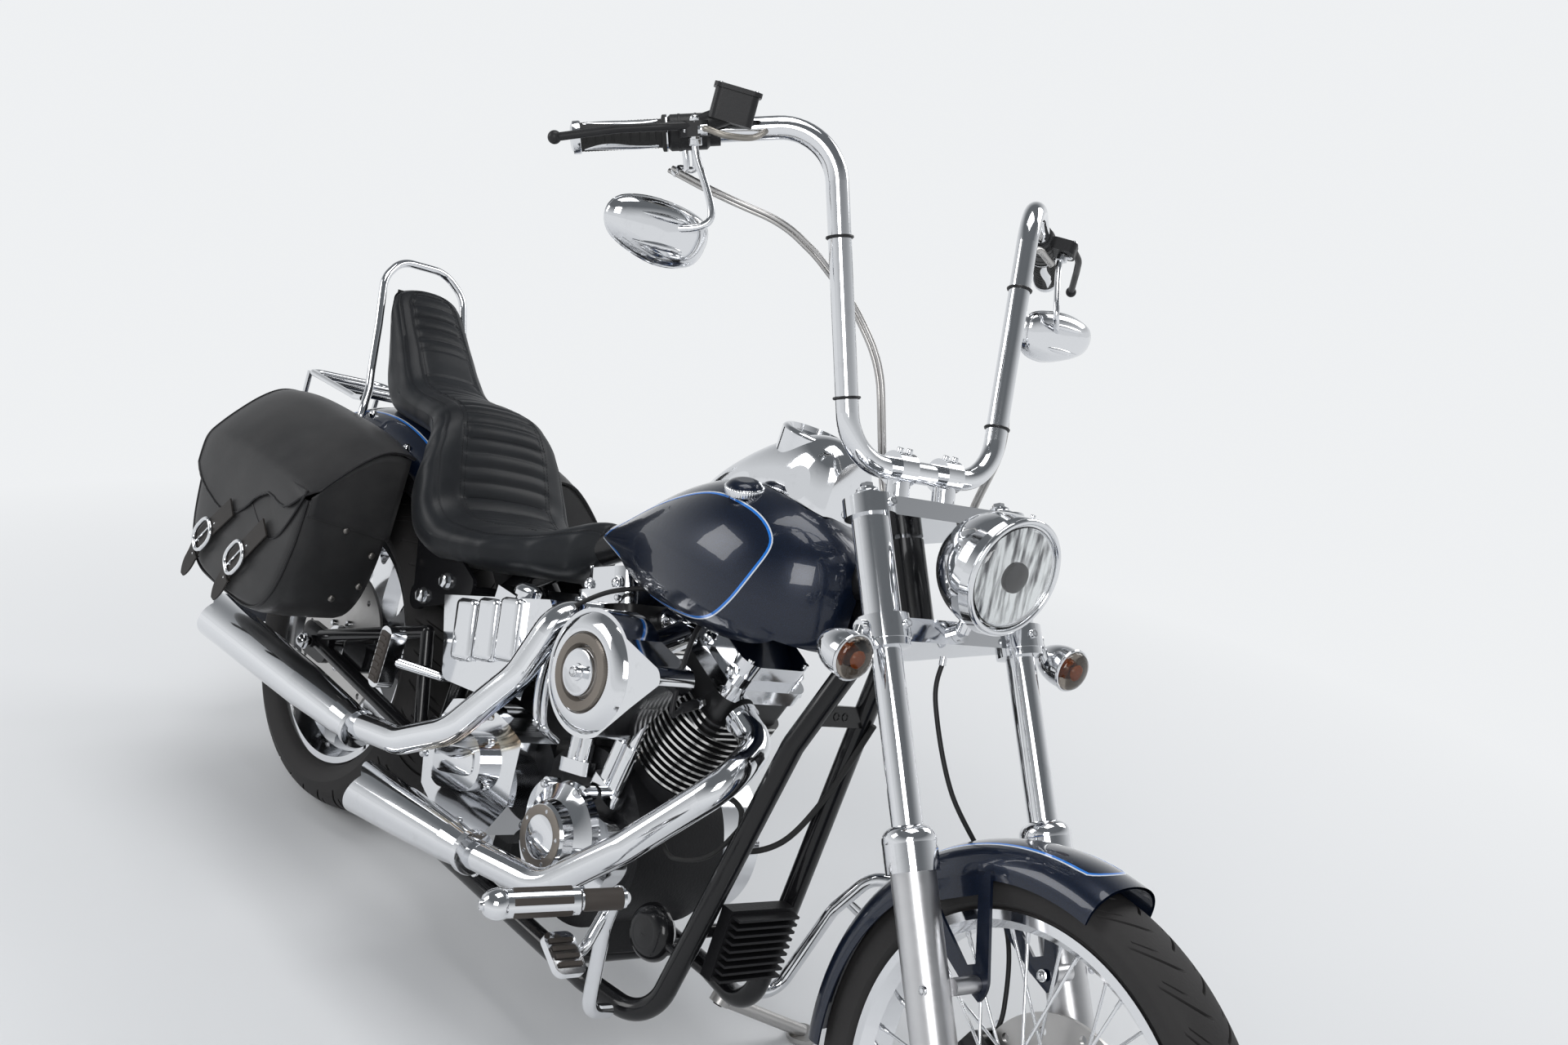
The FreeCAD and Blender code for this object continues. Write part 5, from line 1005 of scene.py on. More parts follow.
def buildBags():
    body, rings = bagBody()
    lid, rim = bagLid()
    under, underRim = underFlap()
    straps, metal = bagStraps()
    flap = gussetFlap()
    edging, lidEdging, rivets = Form(), Form(), Form()
    edging.tube([spot + toLeft * 0.0015 for spot in rings[-2]], 0.0026, 8)
    lidEdging.tube(rim, 0.0024, 8)
    lidEdging.tube(underRim, 0.0020, 8)
    for along, side, high in bag["rivets"]:
        rivets.button((along + 0.012, side, high), (1, 0, 0), 0.0065, 0.004)
    for hand, sign in (("left", 1), ("right", -1)):
        def onSide(form):
            return form if sign > 0 else mirroredForm(form)

        outward = Vector((0, sign, 0))
        parts = [
            ("saddlebag_%s_body" % hand, body, "root", ("saddlebag_" + hand,), bag["wall"]),
            ("bag_lid_%s_flap" % hand, lid, "lid_" + hand, ("bag_lid_" + hand,), bag["wall"]),
            ("bag_lid_%s_under" % hand, under, "lid_" + hand, (), 0.003),
            ("saddlebag_%s_gusset" % hand, flap, "root", (), 0.0025),
        ]
        for name, form, holder, stands, wall in parts:
            piece = makePiece(name, onSide(form), "bag_leather", holder, sharp=60, stands=stands)
            solidify(piece, wall, outward if "gusset" not in name else Vector((1, 0, 0)))
        makePiece("saddlebag_%s_piping" % hand, onSide(edging), "piping")
        makePiece("bag_lid_%s_piping" % hand, onSide(lidEdging), "piping", "lid_" + hand)
        makePiece("bag_straps_" + hand, onSide(straps), "strap", "lid_" + hand, bevel=0.0008)
        makePiece("bag_buckles_" + hand, onSide(metal), "chrome")
        makePiece("bag_rivets_" + hand, onSide(rivets), "dark_bolt")


def solidify(piece, wall, outward):
    # the skin gets its thickness on its inner side: the side away from outward at its outermost face
    mesh = piece.data
    local = upright.to_3x3() @ outward
    best = max(mesh.polygons, key=lambda face: face.center.dot(local) + face.area * 0.01)
    if best.normal.dot(local) < 0:
        mesh.flip_normals()
    skin = piece.modifiers.new("Wall", "SOLIDIFY")
    skin.thickness, skin.offset = wall, -1.0


buildBags()
print("saddlebags ready")


# Tyres: a revolved skin whose columns follow the slanted grooves, so that their walls are crisp
tyres = {
    "front": {"centre": frontAxle, "radius": 0.342, "half": 0.044, "drop": 0.016, "rim": 0.280,
              "bead": 0.0268,
              "pitches": 36, "depth": 0.0046, "slant": 0.95, "main": (0.10, 0.96), "short": (0.42, 0.80)},
    "rear": {"centre": rearAxle, "radius": 0.326, "half": 0.100, "drop": 0.042, "rim": 0.232, "bead": 0.0688,
             "pitches": 32, "depth": 0.0056, "slant": 1.15, "main": (0.07, 0.97), "short": (0.36, 0.74)},
}
# where a pitch's columns lie, and which groove each is the floor of:
# 1 main left, 2 short left, 3 main right, 4 short right
treadColumns = [(0.00, 0), (0.015, 1), (0.085, 1), (0.10, 0), (0.18, 0), (0.29, 0), (0.30, 2), (0.345, 2),
                (0.355, 0),
                (0.43, 0), (0.50, 0), (0.515, 3), (0.585, 3), (0.60, 0), (0.68, 0), (0.79, 0), (0.80, 4),
                (0.845, 4),
                (0.855, 0), (0.93, 0)]


def tyreSection(facts):
    # (sideways, radius, share of the tread's half) from one bead over the crown to the other
    tread, shoulder = facts["half"] * 0.94, facts["radius"] - facts["drop"]
    waist = (facts["rim"] + shoulder) / 2 + 0.004
    bead, rim, half = facts["bead"], facts["rim"], facts["half"]
    edge = math.radians(74)
    crown = []
    for step in range(33):
        share = -1 + step / 16
        turn = share * edge
        rise = (math.cos(turn) - math.cos(edge)) / (1 - math.cos(edge))
        crown.append((tread * math.sin(turn) / math.sin(edge), shoulder + facts["drop"] * rise, share))
    # a side wall with two thin ribs, down to the seat of its bead
    wall = smoothLine([(bead, rim + 0.0012), (bead + (half - bead) * 0.62, rim + (waist - rim) * 0.36),
                       (half, waist),
                       (half * 0.985, (waist + shoulder) / 2), (tread, shoulder)], 13)
    wall = [(side + (0.0009 if index in (3, 9) else 0), radius, None)
            for index, (side, radius) in enumerate(wall)]
    right = [(bead - 0.004, rim - 0.0075, None), (bead, rim - 0.006, None)] + wall[:-1]
    return [(-side, radius, share) for side, radius, share in right] + crown + right[::-1]


def grooveShare(value, span):
    # 1 in the groove's length, easing to 0 at its two ends
    return within(value, span[0], span[0] + 0.06) * within(-value, -span[1], -span[1] + 0.05)


def buildTyre(facts):
    section = tyreSection(facts)
    centre, rings = facts["centre"], []
    for pitch in range(facts["pitches"]):
        for place, groove in treadColumns:
            ring = []
            for side, radius, share in section:
                turn = (pitch + place) * math.tau / facts["pitches"]
                reach = radius
                if share is not None:
                    lean = abs(share) ** 1.25
                    turn += facts["slant"] * lean * math.tau / facts["pitches"]
                    wanted = (1, 2) if share > 0 else (3, 4)
                    if groove in wanted:
                        span = facts["main"] if groove in (1, 3) else facts["short"]
                        reach -= facts["depth"] * grooveShare(abs(share), span)
                else:
                    turn += facts["slant"] * math.tau / facts["pitches"]
                ring.append(centre + spoke(turn) * reach + Vector((0, side, 0)))
            rings.append(ring)
    form = Form()
    form.rings(rings, closedAlong=True, capped=False)
    return form


for hand in ("front", "rear"):
    tyreForm = buildTyre(tyres[hand])
    makePiece(hand + "_tyre_tread", tyreForm, "tyre", hand + "_wheel", sharp=32, stands=(hand + "_tyre",))
    print(hand, "tyre:", len(tyreForm.faces), "faces")


# Painted lines: thin ribbons laid on the tank and the fenders
lines = {
    "blue": 0.0036, "pale": 0.0020, "gap": 0.0028, "proud": 0.00035,
    "tankLoop": [(1.078, 0.880), (1.060, 0.915), (1.000, 0.932), (0.909, 0.925), (0.801, 0.875),
                 (0.700, 0.815),
                 (0.642, 0.765), (0.665, 0.745), (0.750, 0.735), (0.868, 0.737), (0.991, 0.753),
                 (1.050, 0.800)],
}


class Skin:
    # a node's own surface, to lay things on
    def __init__(self, *names, stance=upright):
        points, faces = [], []
        back = stance.inverted()
        for name in names:
            mesh = nodes[name].data
            start = len(points)
            points += [back @ vertex.co for vertex in mesh.vertices]
            faces += [tuple(start + corner for corner in face.vertices) for face in mesh.polygons]
        self.tree = BVHTree.FromPolygons(points, faces)

    def hit(self, start, towards):
        place, normal = self.tree.ray_cast(Vector(start), Vector(towards).normalized())[:2]
        if place is None:
            return None
        return place, normal if normal.dot(Vector(towards)) < 0 else -normal


def layRibbon(form, spots, width, shift, closed):
    # spots are (place, normal) pairs; shift moves the ribbon sideways along the surface
    rings = []
    for index, (place, normal) in enumerate(spots):
        before = spots[index - 1][0] if index or closed else place
        after = spots[(index + 1) % len(spots)][0] if closed or index < len(spots) - 1 else place
        sideways = (after - before).cross(normal).normalized()
        middle = place + sideways * shift + normal * lines["proud"]
        rings.append([middle - sideways * width / 2 - normal * 0.0006, middle - sideways * width / 2,
                      middle + sideways * width / 2, middle + sideways * width / 2 - normal * 0.0006])
    form.sheet(rings, closed)


def paintPair(name, body, traces, closed=False):
    for finish, width, shift in (("blue_line", lines["blue"], 0.5), ("pale_line", lines["pale"], -0.5)):
        form = Form()
        for spots, sign in traces:
            layRibbon(form, spots, width, lines["gap"] * shift * sign, closed)
        makePiece(name + "_" + finish, form, finish, body, sharp=80)


def tankLines():
    skin = Skin("fuel_tank")
    loop = smoothLine(lines["tankLoop"], 150, closed=True)
    traces = []
    for sign in (1, -1):
        found = [skin.hit((along, 0.4 * sign, high), (0, -sign, 0)) for along, high in loop]
        traces.append(([spot for spot in found if spot], sign))
    paintPair("tank", "root", traces, closed=True)


def fenderLines(node, body, centre, reach, turns, corner, tip, side):
    # a U that runs along both shoulders and turns over the crown near the tip, in degrees from straight ahead
    trail = [(turn, side) for turn in turns]
    bend = [math.pi * step / 12 for step in range(1, 12)]
    trail += [(corner + tip * math.sin(swing), side * math.cos(swing)) for swing in bend]
    trail += [(turn, -across) for turn, across in trail[:len(turns)][::-1]]
    skin = Skin(node, stance=stances.get(body, upright))
    found = []
    for turn, across in trail:
        start = centre + spoke(math.radians(turn)) * reach + Vector((0, across, 0))
        found.append(skin.hit(start, centre + Vector((0, across, 0)) - start))
    paintPair(node, body, [([spot for spot in found if spot], 1)])


def trimFender(tip=84):
    # the front fender's painted strip ends over the tyre's top, at this angle from straight ahead
    mesh = nodes["front_fender"].data.copy()
    ahead = spoke(math.radians(tip - 90))
    work = bmesh.new()
    work.from_mesh(mesh)
    cut = bmesh.ops.bisect_plane(work, geom=work.verts[:] + work.edges[:] + work.faces[:], dist=0.00001,
                                 clear_outer=True,
                                 plane_co=turnedFork @ frontAxle, plane_no=turnedFork.to_3x3() @ ahead)
    bmesh.ops.holes_fill(work,
                         edges=[edge for edge in cut["geom_cut"] if isinstance(edge, bmesh.types.BMEdge)])
    work.to_mesh(mesh)
    work.free()
    showPiece("front_fender_skin", mesh, "steering", ("front_fender",))


tankLines()
fenderLines("front_fender", "steering", frontAxle, 0.45, [186 - step * 1.02 for step in range(92)], 91.6,
            -3.2, 0.036)
trimFender()
fenderLines("rear_fender", "root", rearAxle, 0.58, range(60, 184), 184.5, 3.5, 0.088)
print("painted lines ready")


# Grips and controls, placed along the swept bar ends
bars = {
    "bend": (-0.162, 0.203, 0.478), "run": (-0.524, 0.789, -0.319), "housing": 0.168, "perch": 0.188,
    "grip": 0.224, "gripLength": 0.128, "gripRadius": 0.019, "cableEnd": (0.944, -0.361, 1.366),
}
barFoot = onFork(0.818, -0.034)
highBend = barFoot + Vector(bars["bend"])
gripRun = Vector(bars["run"]).normalized()
gripFront = gripRun.cross(Vector((0, 0, 1))).normalized()
gripTop = gripFront.cross(gripRun).normalized()


def onBar(along, ahead=0.0, above=0.0, sign=1):
    # a place by a bar end, on the left (1) or the right (-1)
    return sided(highBend + gripRun * along + gripFront * ahead + gripTop * above, sign)


def buildGrips():
    rubber, metal = Form(), Form()
    start = onBar(bars["grip"])
    length, radius = bars["gripLength"], bars["gripRadius"]
    profile = [(0.0, radius + 0.0046), (0.0008, radius + 0.0052), (0.0052, radius + 0.0052),
               (0.0062, radius + 0.0044)]
    profile += [(0.0075 + (length - 0.0215) * step / 60, radius - 0.0002) for step in range(61)]
    profile += [(length - 0.0135, radius + 0.0012)]

    def ribbed(along, reach, swing):
        # fine ribs round the grip, between its three inlaid flames
        if along < 0.008 or along > length - 0.0145:
            return reach
        third = (swing % (math.tau / 3)) / (math.tau / 3)
        return reach + (0.0 if abs(third - 0.5) < 0.19 else 0.00055 * math.cos(along / 0.0042 * math.tau))

    rubber.lathe(profile, start, gripRun, 96, ribbed)
    metal.lathe([(length - 0.0142, radius + 0.0018), (length - 0.012, radius + 0.0030),
                 (length - 0.004, radius + 0.0028),
                 (length - 0.0008, radius - 0.003), (length + 0.0002, radius - 0.008),
                 (length + 0.0002, 0.0003)],
                start, gripRun, 44)
    metal.lathe([(-0.0005, radius + 0.0002), (-0.0005, radius + 0.0056), (0.0012, radius + 0.0058),
                 (0.0014, radius + 0.0002)], start, gripRun, 44)
    # each inlay is a long leaf that bends with the grip
    side, up = axes(gripRun)[:2]
    for third in range(3):
        rows = []
        for step in range(31):
            share = step / 30
            along = 0.012 + (length - 0.030) * share
            middle = math.tau * (third + 0.5) / 3 + 0.16 * math.sin(share * math.tau)
            half = 0.34 * math.sin(math.pi * min(1.0, 0.06 + share * 0.94)) ** 0.7 + 0.02
            row = []
            for place in range(-3, 4):
                swing = middle + half * place / 3
                crown = 0.0010 * (1 - (place / 3) ** 2)
                row.append(start + gripRun * along
                           + (side * math.cos(swing) + up * math.sin(swing)) * (radius + 0.0001 + crown))
            rows.append(row)
        metal.sheet(rows)
    for name, form, finish, stands in (("grip_rubber", rubber, "rubber", ("grips",)),
                                       ("grip_inlay", metal, "chrome", ())):
        makePiece(name, paired(form), finish, "steering", sharp=50, stands=stands)


def buildControls():
    bright, black, hose = Form(), Form(), Form()
    housing, perch = bars["housing"], bars["perch"]
    for sign in (1, -1):
        run, front, top = [sided(axis, sign) for axis in (gripRun, gripFront, gripTop)]
        # lever pivot nut, perch screws and the seam of the housing
        bright.domeNut(onBar(perch, 0.050, 0.010, sign), top, 0.013, 0.010)
        bright.hexBolt(onBar(perch, 0.050, -0.006, sign), -top, 0.011, 0.006)
        for step in (-0.010, 0.012):
            bright.socketBolt(onBar(perch + step, 0.053, 0, sign), front, 0.007, 0.004)
            black.lathe([(0, 0.0245), (0.003, 0.0247), (0.0035, 0.0238)],
                        onBar(housing + 0.026 + step, sign=sign), run, 40)
        # switches on the side that faces the rider
        middle, back = onBar(housing + 0.028, sign=sign), -front
        black.lathe([(0.016, 0.0115), (0.0262, 0.0110), (0.0275, 0.0100), (0.0275, 0.0003)],
                    middle + run * 0.008, back, 28)
        bright.lathe([(0.0268, 0.0065), (0.0292, 0.0062), (0.0300, 0.0050), (0.0300, 0.0003)],
                     middle + run * 0.008, back, 24)
        for spot, reach, width, thick in ((middle + back * 0.0245 - run * 0.013, top * 0.009, 0.011, 0.006),
                                          (middle + back * 0.021 + top * 0.013 + run * 0.004, run * 0.008,
                                           0.007, 0.007)):
            black.bar(spot - reach, spot + reach, width, thick, up=tuple(back))
        for step in (-0.014, 0.014):
            bright.button(middle + back * 0.0225 - top * 0.0115 + run * step, back - top * 0.5, 0.0030,
                          0.0018)
    # the fluid box on the right: lid screws, a sight glass and its ring
    run, front = sided(gripRun, -1), sided(gripFront, -1)
    fluid = onBar(perch - 0.052, 0.040, 0.026, -1)
    flatRun = Vector((run.x, run.y, 0)).normalized()
    flatFront = Vector((0, 0, 1)).cross(flatRun)
    flatFront *= math.copysign(1.0, flatFront.dot(front))
    for along in (0.024, -0.024):
        for across in (0.017, -0.017):
            bright.button(fluid + Vector((0, 0, 0.026)) + flatRun * along + flatFront * across, (0, 0, 1),
                          0.0032, 0.0016)
    sight = fluid - flatFront * 0.0226 + Vector((0, 0, 0.002))
    bright.lathe([(0, 0.0100), (0.0016, 0.0098), (0.0020, 0.0075), (0.0006, 0.0070)], sight, -flatFront, 28)
    black.lathe([(0.0002, 0.0072), (0.0008, 0.0070), (0.0010, 0.0003)], sight, -flatFront, 24)
    # brake hose: out of the perch, round and into the bar
    foot = onBar(perch - 0.012, 0.052, 0, -1)
    hose.tube(smoothLine([foot, foot + front * 0.018 - run * 0.004,
                          foot + front * 0.024 - run * 0.030 - Vector((0, 0, 0.010)),
                          foot + front * 0.004 - run * 0.066 - Vector((0, 0, 0.014)),
                          onBar(0.092, 0.012, 0, -1) - Vector((0, 0, 0.004))], 40), 0.0042, 12)
    bright.lathe([(-0.004, 0.0075), (0.004, 0.0075)], foot + front * 0.004, run, 20)
    bright.hexBolt(foot + front * 0.0045 + run * 0.004, run, 0.010, 0.005)
    # elbow pipes lead the two throttle cables into the housing
    for step in (0, 1):
        cable = Vector(bars["cableEnd"]) + forkAhead * 0.008 * step
        elbow = [onBar(housing + 0.034 - 0.012 * step, 0, -drop, -1) for drop in (0.019, 0.048)]
        bright.tube(smoothLine(elbow + [cable.lerp(elbow[1], 0.3), cable + Vector((0.012, 0.006, -0.003))],
                               30), 0.0046, 12)
    makePiece("control_fittings", bright, "chrome", "steering")
    makePiece("control_switches", black, "black_plastic", "steering", bevel=0.0006)
    makePiece("front_brake_hose", hose, "braided", "steering")


def buildBarDetails():
    bits, ties = Form(), Form()
    middle = barFoot + Vector((-0.018, 0, 0.058))
    for sign in (1, -1):
        # riser cap screws
        for step in (-0.009, 0.009):
            bits.socketBolt(middle + Vector((0, 0.045 * sign + step, 0.0236)), (0, 0, 1), 0.0095, 0.006)
        # black ties at the low bends hold the cable to the bar
        low = middle + Vector((-0.002, 0.137 * sign, -0.002))
        run = (sided(highBend, sign) - low).normalized()
        for step in (0.085, 0.30):
            ties.tube(circle(low + run * step, run, 0.0172, 28), 0.0022, 6, closed=True)
        # tube caps and pinch bolts of the clamps
        side = bike["forkHalf"] * sign
        top = onFork(0.828, 0, side)
        bits.lathe([(0, 0.0150), (0.003, 0.0150), (0.0042, 0.0138), (0.0042, 0.0003)], top, forkUp, 32)
        bits.hexBolt(top + forkUp * 0.004, forkUp, 0.016, 0.008)
        for place in (0.805, 0.641):
            bits.socketBolt(onFork(place, -0.033, side + 0.010 * sign), -forkAhead, 0.012, 0.006)
            bits.socketBolt(onFork(place, 0.0338, side - 0.008 * sign), forkAhead, 0.012, 0.006)
        # axle nuts, pinch screws and guard bolts of the sliders
        bits.lathe([(0, 0.021), (0.003, 0.021), (0.0035, 0.0135), (0.0080, 0.0135), (0.0085, 0.0092),
                    (0.0086, 0.0088)],
                   onFork(0, 0, side + 0.030 * sign), (0, sign, 0), 6 if sign < 0 else 32)
        for step in (-0.020, -0.031):
            bits.socketBolt(onFork(step, 0.0185, side), forkAhead, 0.009, 0.005)
        bits.socketBolt(onFork(0.050, -0.0292, side), -forkAhead, 0.008, 0.003)
        bits.domeNut(onFork(0.190, 0.022, 0.0585 * sign), (0, -sign, 0), 0.013, 0.007)
        bits.socketBolt(onFork(0.190, 0.022, side + 0.028 * sign), (0, sign, 0), 0.012, 0.004)
    makePiece("fork_fittings", bits, "chrome", "steering")
    makePiece("bar_ties", ties, "black_plastic", "steering")


buildGrips()
buildControls()
buildBarDetails()
print("bars and controls ready")


# Headlamp: a bright dish behind a clear dome, with a dark shield over the bulb
headlamp = {
    "centre": (1.424, 0, 0.984), "aim": (1, 0, -0.04), "radius": 0.0712, "dome": 0.013, "recess": 0.0115,
    "flute": 0.035, "flutes": 26, "rim": 0.0775,
}


def buildHeadlamp():
    centre, aim, radius = Vector(headlamp["centre"]), headlamp["aim"], headlamp["radius"]
    deep, dome = headlamp["recess"], headlamp["dome"]
    dish, glass, shield, bulb, rim = Form(), Form(), Form(), Form(), Form()
    side, up, ahead = axes(aim)

    def fluted(along, reach, swing):
        # flutes spread the light, apart from at the rim and round the bulb
        wave = headlamp["flute"] * math.cos(swing * headlamp["flutes"])
        return reach * (1 + wave) if 0.012 < reach < 0.066 else reach

    def arc(step, last):
        return math.sin(math.pi / 2 * step / 9), math.cos(math.pi / 2 * step / last)

    bowl = [arc(step, 10.5) for step in range(1, 10)]
    dish.lathe([(-0.0002, radius), (-0.002, radius * 0.985)]
               + [(-deep * rise, radius * (0.96 * reach + 0.02)) for rise, reach in bowl] + [(-deep, 0.0002)],
               centre, aim, 192, fluted)
    cover = [arc(step, 9.6) for step in range(10)]
    outer = [(0.0015 + dome * rise, radius * 0.99 * reach) for rise, reach in cover[1:]]
    inner = [(dome * rise - 0.001, radius * 0.95 * reach) for rise, reach in cover[8::-1]]
    top = [(0.0015 + dome, 0.0003), (dome - 0.001, 0.0003)]
    glass.lathe([(-0.001, radius * 0.992), (0.0015, radius * 0.992)] + outer + top + inner, centre, aim, 56)
    shield.lathe([(-deep * 0.9, 0.013), (-0.001, 0.014), (-0.001, 0.0215), (0.004, 0.0205), (0.0075, 0.014),
                  (0.0085, 0.0003)], centre, aim, 28)
    for turn in (90, 210, 330):
        out = side * math.cos(math.radians(turn)) + up * math.sin(math.radians(turn))
        shield.tube([centre + out * 0.015 - ahead * 0.001, centre + out * 0.040 - ahead * 0.007], 0.0012, 6)
    bulb.lathe([(-deep, 0.009), (-deep * 0.4, 0.009), (-deep * 0.1, 0.006), (-0.0015, 0.0003)], centre, aim,
               20)
    rim.tube(circle(centre + ahead * 0.0005, aim, headlamp["rim"], 64), 0.0042, 10, closed=True)
    rim.socketBolt(centre - up * (headlamp["rim"] + 0.004) - ahead * 0.004, -up, 0.007, 0.004)
    makePiece("headlamp_glass", glass, "lens", "steering", stands=("headlamp_lens",))
    makePiece("headlamp_dish", dish, "reflector", "steering")
    makePiece("headlamp_shield", shield, "black_plastic", "steering")
    makePiece("headlamp_bulb", bulb, "milk_glass", "steering")
    makePiece("headlamp_rim", rim, "chrome", "steering")


# Signals: a smoked dome over an amber bulb, on each lamp's flat face
signal = {"along": 0.641, "side": 0.1653, "step": (0.042, 0.046, -0.026), "radius": 0.0285}


def buildSignals():
    smoked, amber, rims = Form(), Form(), Form()
    radius, aim = signal["radius"], (1, 0, 0)
    for sign in (1, -1):
        spot = onFork(signal["along"], 0, signal["side"] * sign) + sided(Vector(signal["step"]), sign)
        smoked.lathe([(0.0002, radius), (0.005, radius), (0.009, radius * 0.93), (0.0125, radius * 0.7),
                      (0.0145, radius * 0.35), (0.015, 0.0003)], spot, aim, 36)
        amber.lathe([(0.0005, 0.006), (0.004, 0.0105), (0.008, 0.0115), (0.0115, 0.008), (0.013, 0.0003)],
                    spot, aim, 20)
        rims.tube(circle(spot + Vector((0.0012, 0, 0)), aim, radius + 0.0008, 40), 0.0026, 8, closed=True)
    makePiece("signal_lenses", smoked, "smoked", "steering")
    makePiece("signal_bulbs", amber, "amber", "steering")
    makePiece("signal_rims", rims, "chrome", "steering")


# Mirrors: a rounded shell on a bent stem, with a plane glass and raised ridges on its back
mirrorFacts = {
    "head": (1.006, 0.401, 1.285), "face": (-1, 0.12, -0.04),
    "outline": [(-0.080, 0.0), (-0.070, 0.027), (-0.030, 0.038), (0.024, 0.040), (0.066, 0.030),
                (0.079, 0.008),
                (0.066, -0.016), (0.024, -0.034), (-0.024, -0.042), (-0.066, -0.032)],
    "layers": [(-0.0005, 0.97), (0, 1.0), (0.007, 1.0), (0.013, 0.95), (0.019, 0.83), (0.0235, 0.62),
               (0.0255, 0.32),
               (0.026, 0.01)],
    "ridges": ((0.019, 0.050), (-0.018, 0.044)),
}


def buildMirrors():
    head, face = Vector(mirrorFacts["head"]), Vector(mirrorFacts["face"]).normalized()
    outline = smoothLine(mirrorFacts["outline"], 60, closed=True)[:-1]
    glass, ridges, shells = Form(), Form(), Form()

    def spot(across, above, deep, share=1.0):
        return head - face * deep + Vector((0, across * share, above * share))

    foot = onBar(bars["perch"], 0.040, -0.0094)
    shells.tube(smoothLine([foot, foot - gripTop * 0.022, head + Vector((0.040, -0.054, 0.034)),
                            head + Vector((0.012, -0.008, 0.006))], 40), 0.005, 16)
    shells.lathe([(0, 0.009), (0.009, 0.009), (0.010, 0.0075)], foot, -gripTop, 28)
    shells.rings([[spot(*place, deep, share) for place in outline] for deep, share in mirrorFacts["layers"]])
    glass.rings([[spot(*place, deep, share) for place in outline]
                 for deep, share in ((0.001, 0.915), (-0.0009, 0.90))])
    ridges.tube([spot(*place, 0.0006, 0.985) for place in outline], 0.0024, 8, closed=True)
    for above, half in mirrorFacts["ridges"]:
        line = [spot(half * (2 * share - 1), above, 0.0205 + 0.003 * math.sin(math.pi * share))
                for share in [step / 16 for step in range(17)]]
        ridges.tube(line, lambda share: 0.0008 + 0.0042 * math.sin(math.pi * share), 10)
    makePiece("mirror_shells", paired(shells), "chrome", "steering", stands=("mirrors",))
    makePiece("mirror_glasses", paired(glass), "mirror_glass", "steering", sharp=30)
    makePiece("mirror_ridges", paired(ridges), "chrome", "steering")


buildHeadlamp()
buildSignals()
buildMirrors()
print("lamps and mirrors ready")


# Engine: bolts, rings, leads and plates seated on the frame's own solids
engine = {
    "crank": (0.850, 0.335), "vee": 22.5, "stackTop": 0.2925, "headTop": 0.3665, "rockerTop": 0.4285,
    "finRadius": 0.074, "headHalf": (0.073, 0.078), "edgeDepth": 0.0016,
    "cleaner": (0.868, 0.612), "cleanerFace": -0.198, "cleanerRing": (0.0402, 0.0612), "ringRise": 0.0098,
    "cam": (0.866, 0.341), "camFace": -0.183, "camRing": (0.0345, 0.0492),
    "bossReach": (0.092, 0.084), "bossMiddle": (0.860, 0.339),
    "gearPlate": (0.474, 0.740, 0.238, 0.452), "gearOval": (0.598, 0.348), "ovalHalf": (0.058, 0.024),
    "ovalTurn": -18,
    "primary": [(0.850, 0.335, 0.118), (0.570, 0.318, 0.108)], "derby": (0.585, 0.320, 0.066),
}


def onBarrel(sign, along, ahead=0.0, side=0.0):
    turn = math.radians(engine["vee"]) * sign
    up = Vector((math.sin(turn), 0, math.cos(turn)))
    forward = Vector((math.cos(turn), 0, -math.sin(turn)))
    return Vector((engine["crank"][0], side, engine["crank"][1])) + up * along + forward * ahead


def finFinish():
    # black cylinders whose fins have bright machined edges
    shade = Shade("machinedFins")
    place = shade.place()
    masks = []
    for sign in (1, -1):
        start = upright @ onBarrel(sign, 0)
        offset = shade.node("ShaderNodeVectorMath", {"operation": "SUBTRACT"}, {0: place, 1: start})
        high, ahead, side = [shade.dot(offset, (upright @ onBarrel(sign, *step) - start).normalized())
                             for step in ((1, 0, 0), (0, 1, 0), (0, 0, 1))]
        reach = high.maths("SQRT", ahead * ahead + side * side)
        split = engine["stackTop"] - 0.002
        barrel = (reach > engine["finRadius"] - engine["edgeDepth"]) * (high < split)
        ownEdge = high.maths("MAXIMUM", *[high.maths("ABSOLUTE", value) - half
                                          for value, half in zip((ahead, side), engine["headHalf"])])
        head = (ownEdge > -engine["edgeDepth"]) * (high > split)
        along = shade.dot(place, (1, 0, 0))
        middle = (upright @ Vector((engine["crank"][0], 0, 0))).x
        masks.append(high.maths("MAXIMUM", barrel, head) * (along > middle if sign > 0 else along < middle))
    bright = masks[0] + masks[1]
    grain = shade.noise(300.0, 3.0)
    return shade.surface({"Base Color": shade.blend(bright, (0.012, 0.012, 0.013), (0.74, 0.73, 0.71)),
                          "Metallic": bright * 1.0, "Roughness": 0.42 - bright * 0.24 + grain * 0.05,
                          "Normal": shade.bump(grain, 0.15, 0.0004)})


def heatFinish(name, start, end):
    # chrome that has turned straw, brown and blue where the pipe runs hottest, mostly underneath
    shade = Shade(name)
    cold = (0.82, 0.83, 0.85)
    along = shade.dot(shade.place(), (1, 0, 0)) + shade.noise(9.0, 3.0) * 0.03
    tint = shade.ramp(shade.span(along, end, start), [
        (0.0, cold), (0.22, (0.80, 0.72, 0.55)), (0.42, (0.50, 0.33, 0.20)), (0.58, (0.16, 0.26, 0.48)),
        (0.80, (0.42, 0.50, 0.60)), (1.0, (0.70, 0.66, 0.58))])
    lean = shade.dot(shade.node("ShaderNodeNewGeometry", out="Normal"), (0, 0.25, -1))
    return shade.surface({"Base Color": shade.blend(shade.span(lean, 0.05, 0.75), cold, tint),
                          "Metallic": 1.0,
                          "Roughness": 0.06 + shade.noise(9.0, 4.0) * 0.06,
                          "Normal": shade.bump(shade.noise(160.0, 2.0), 0.02, 0.0004)})


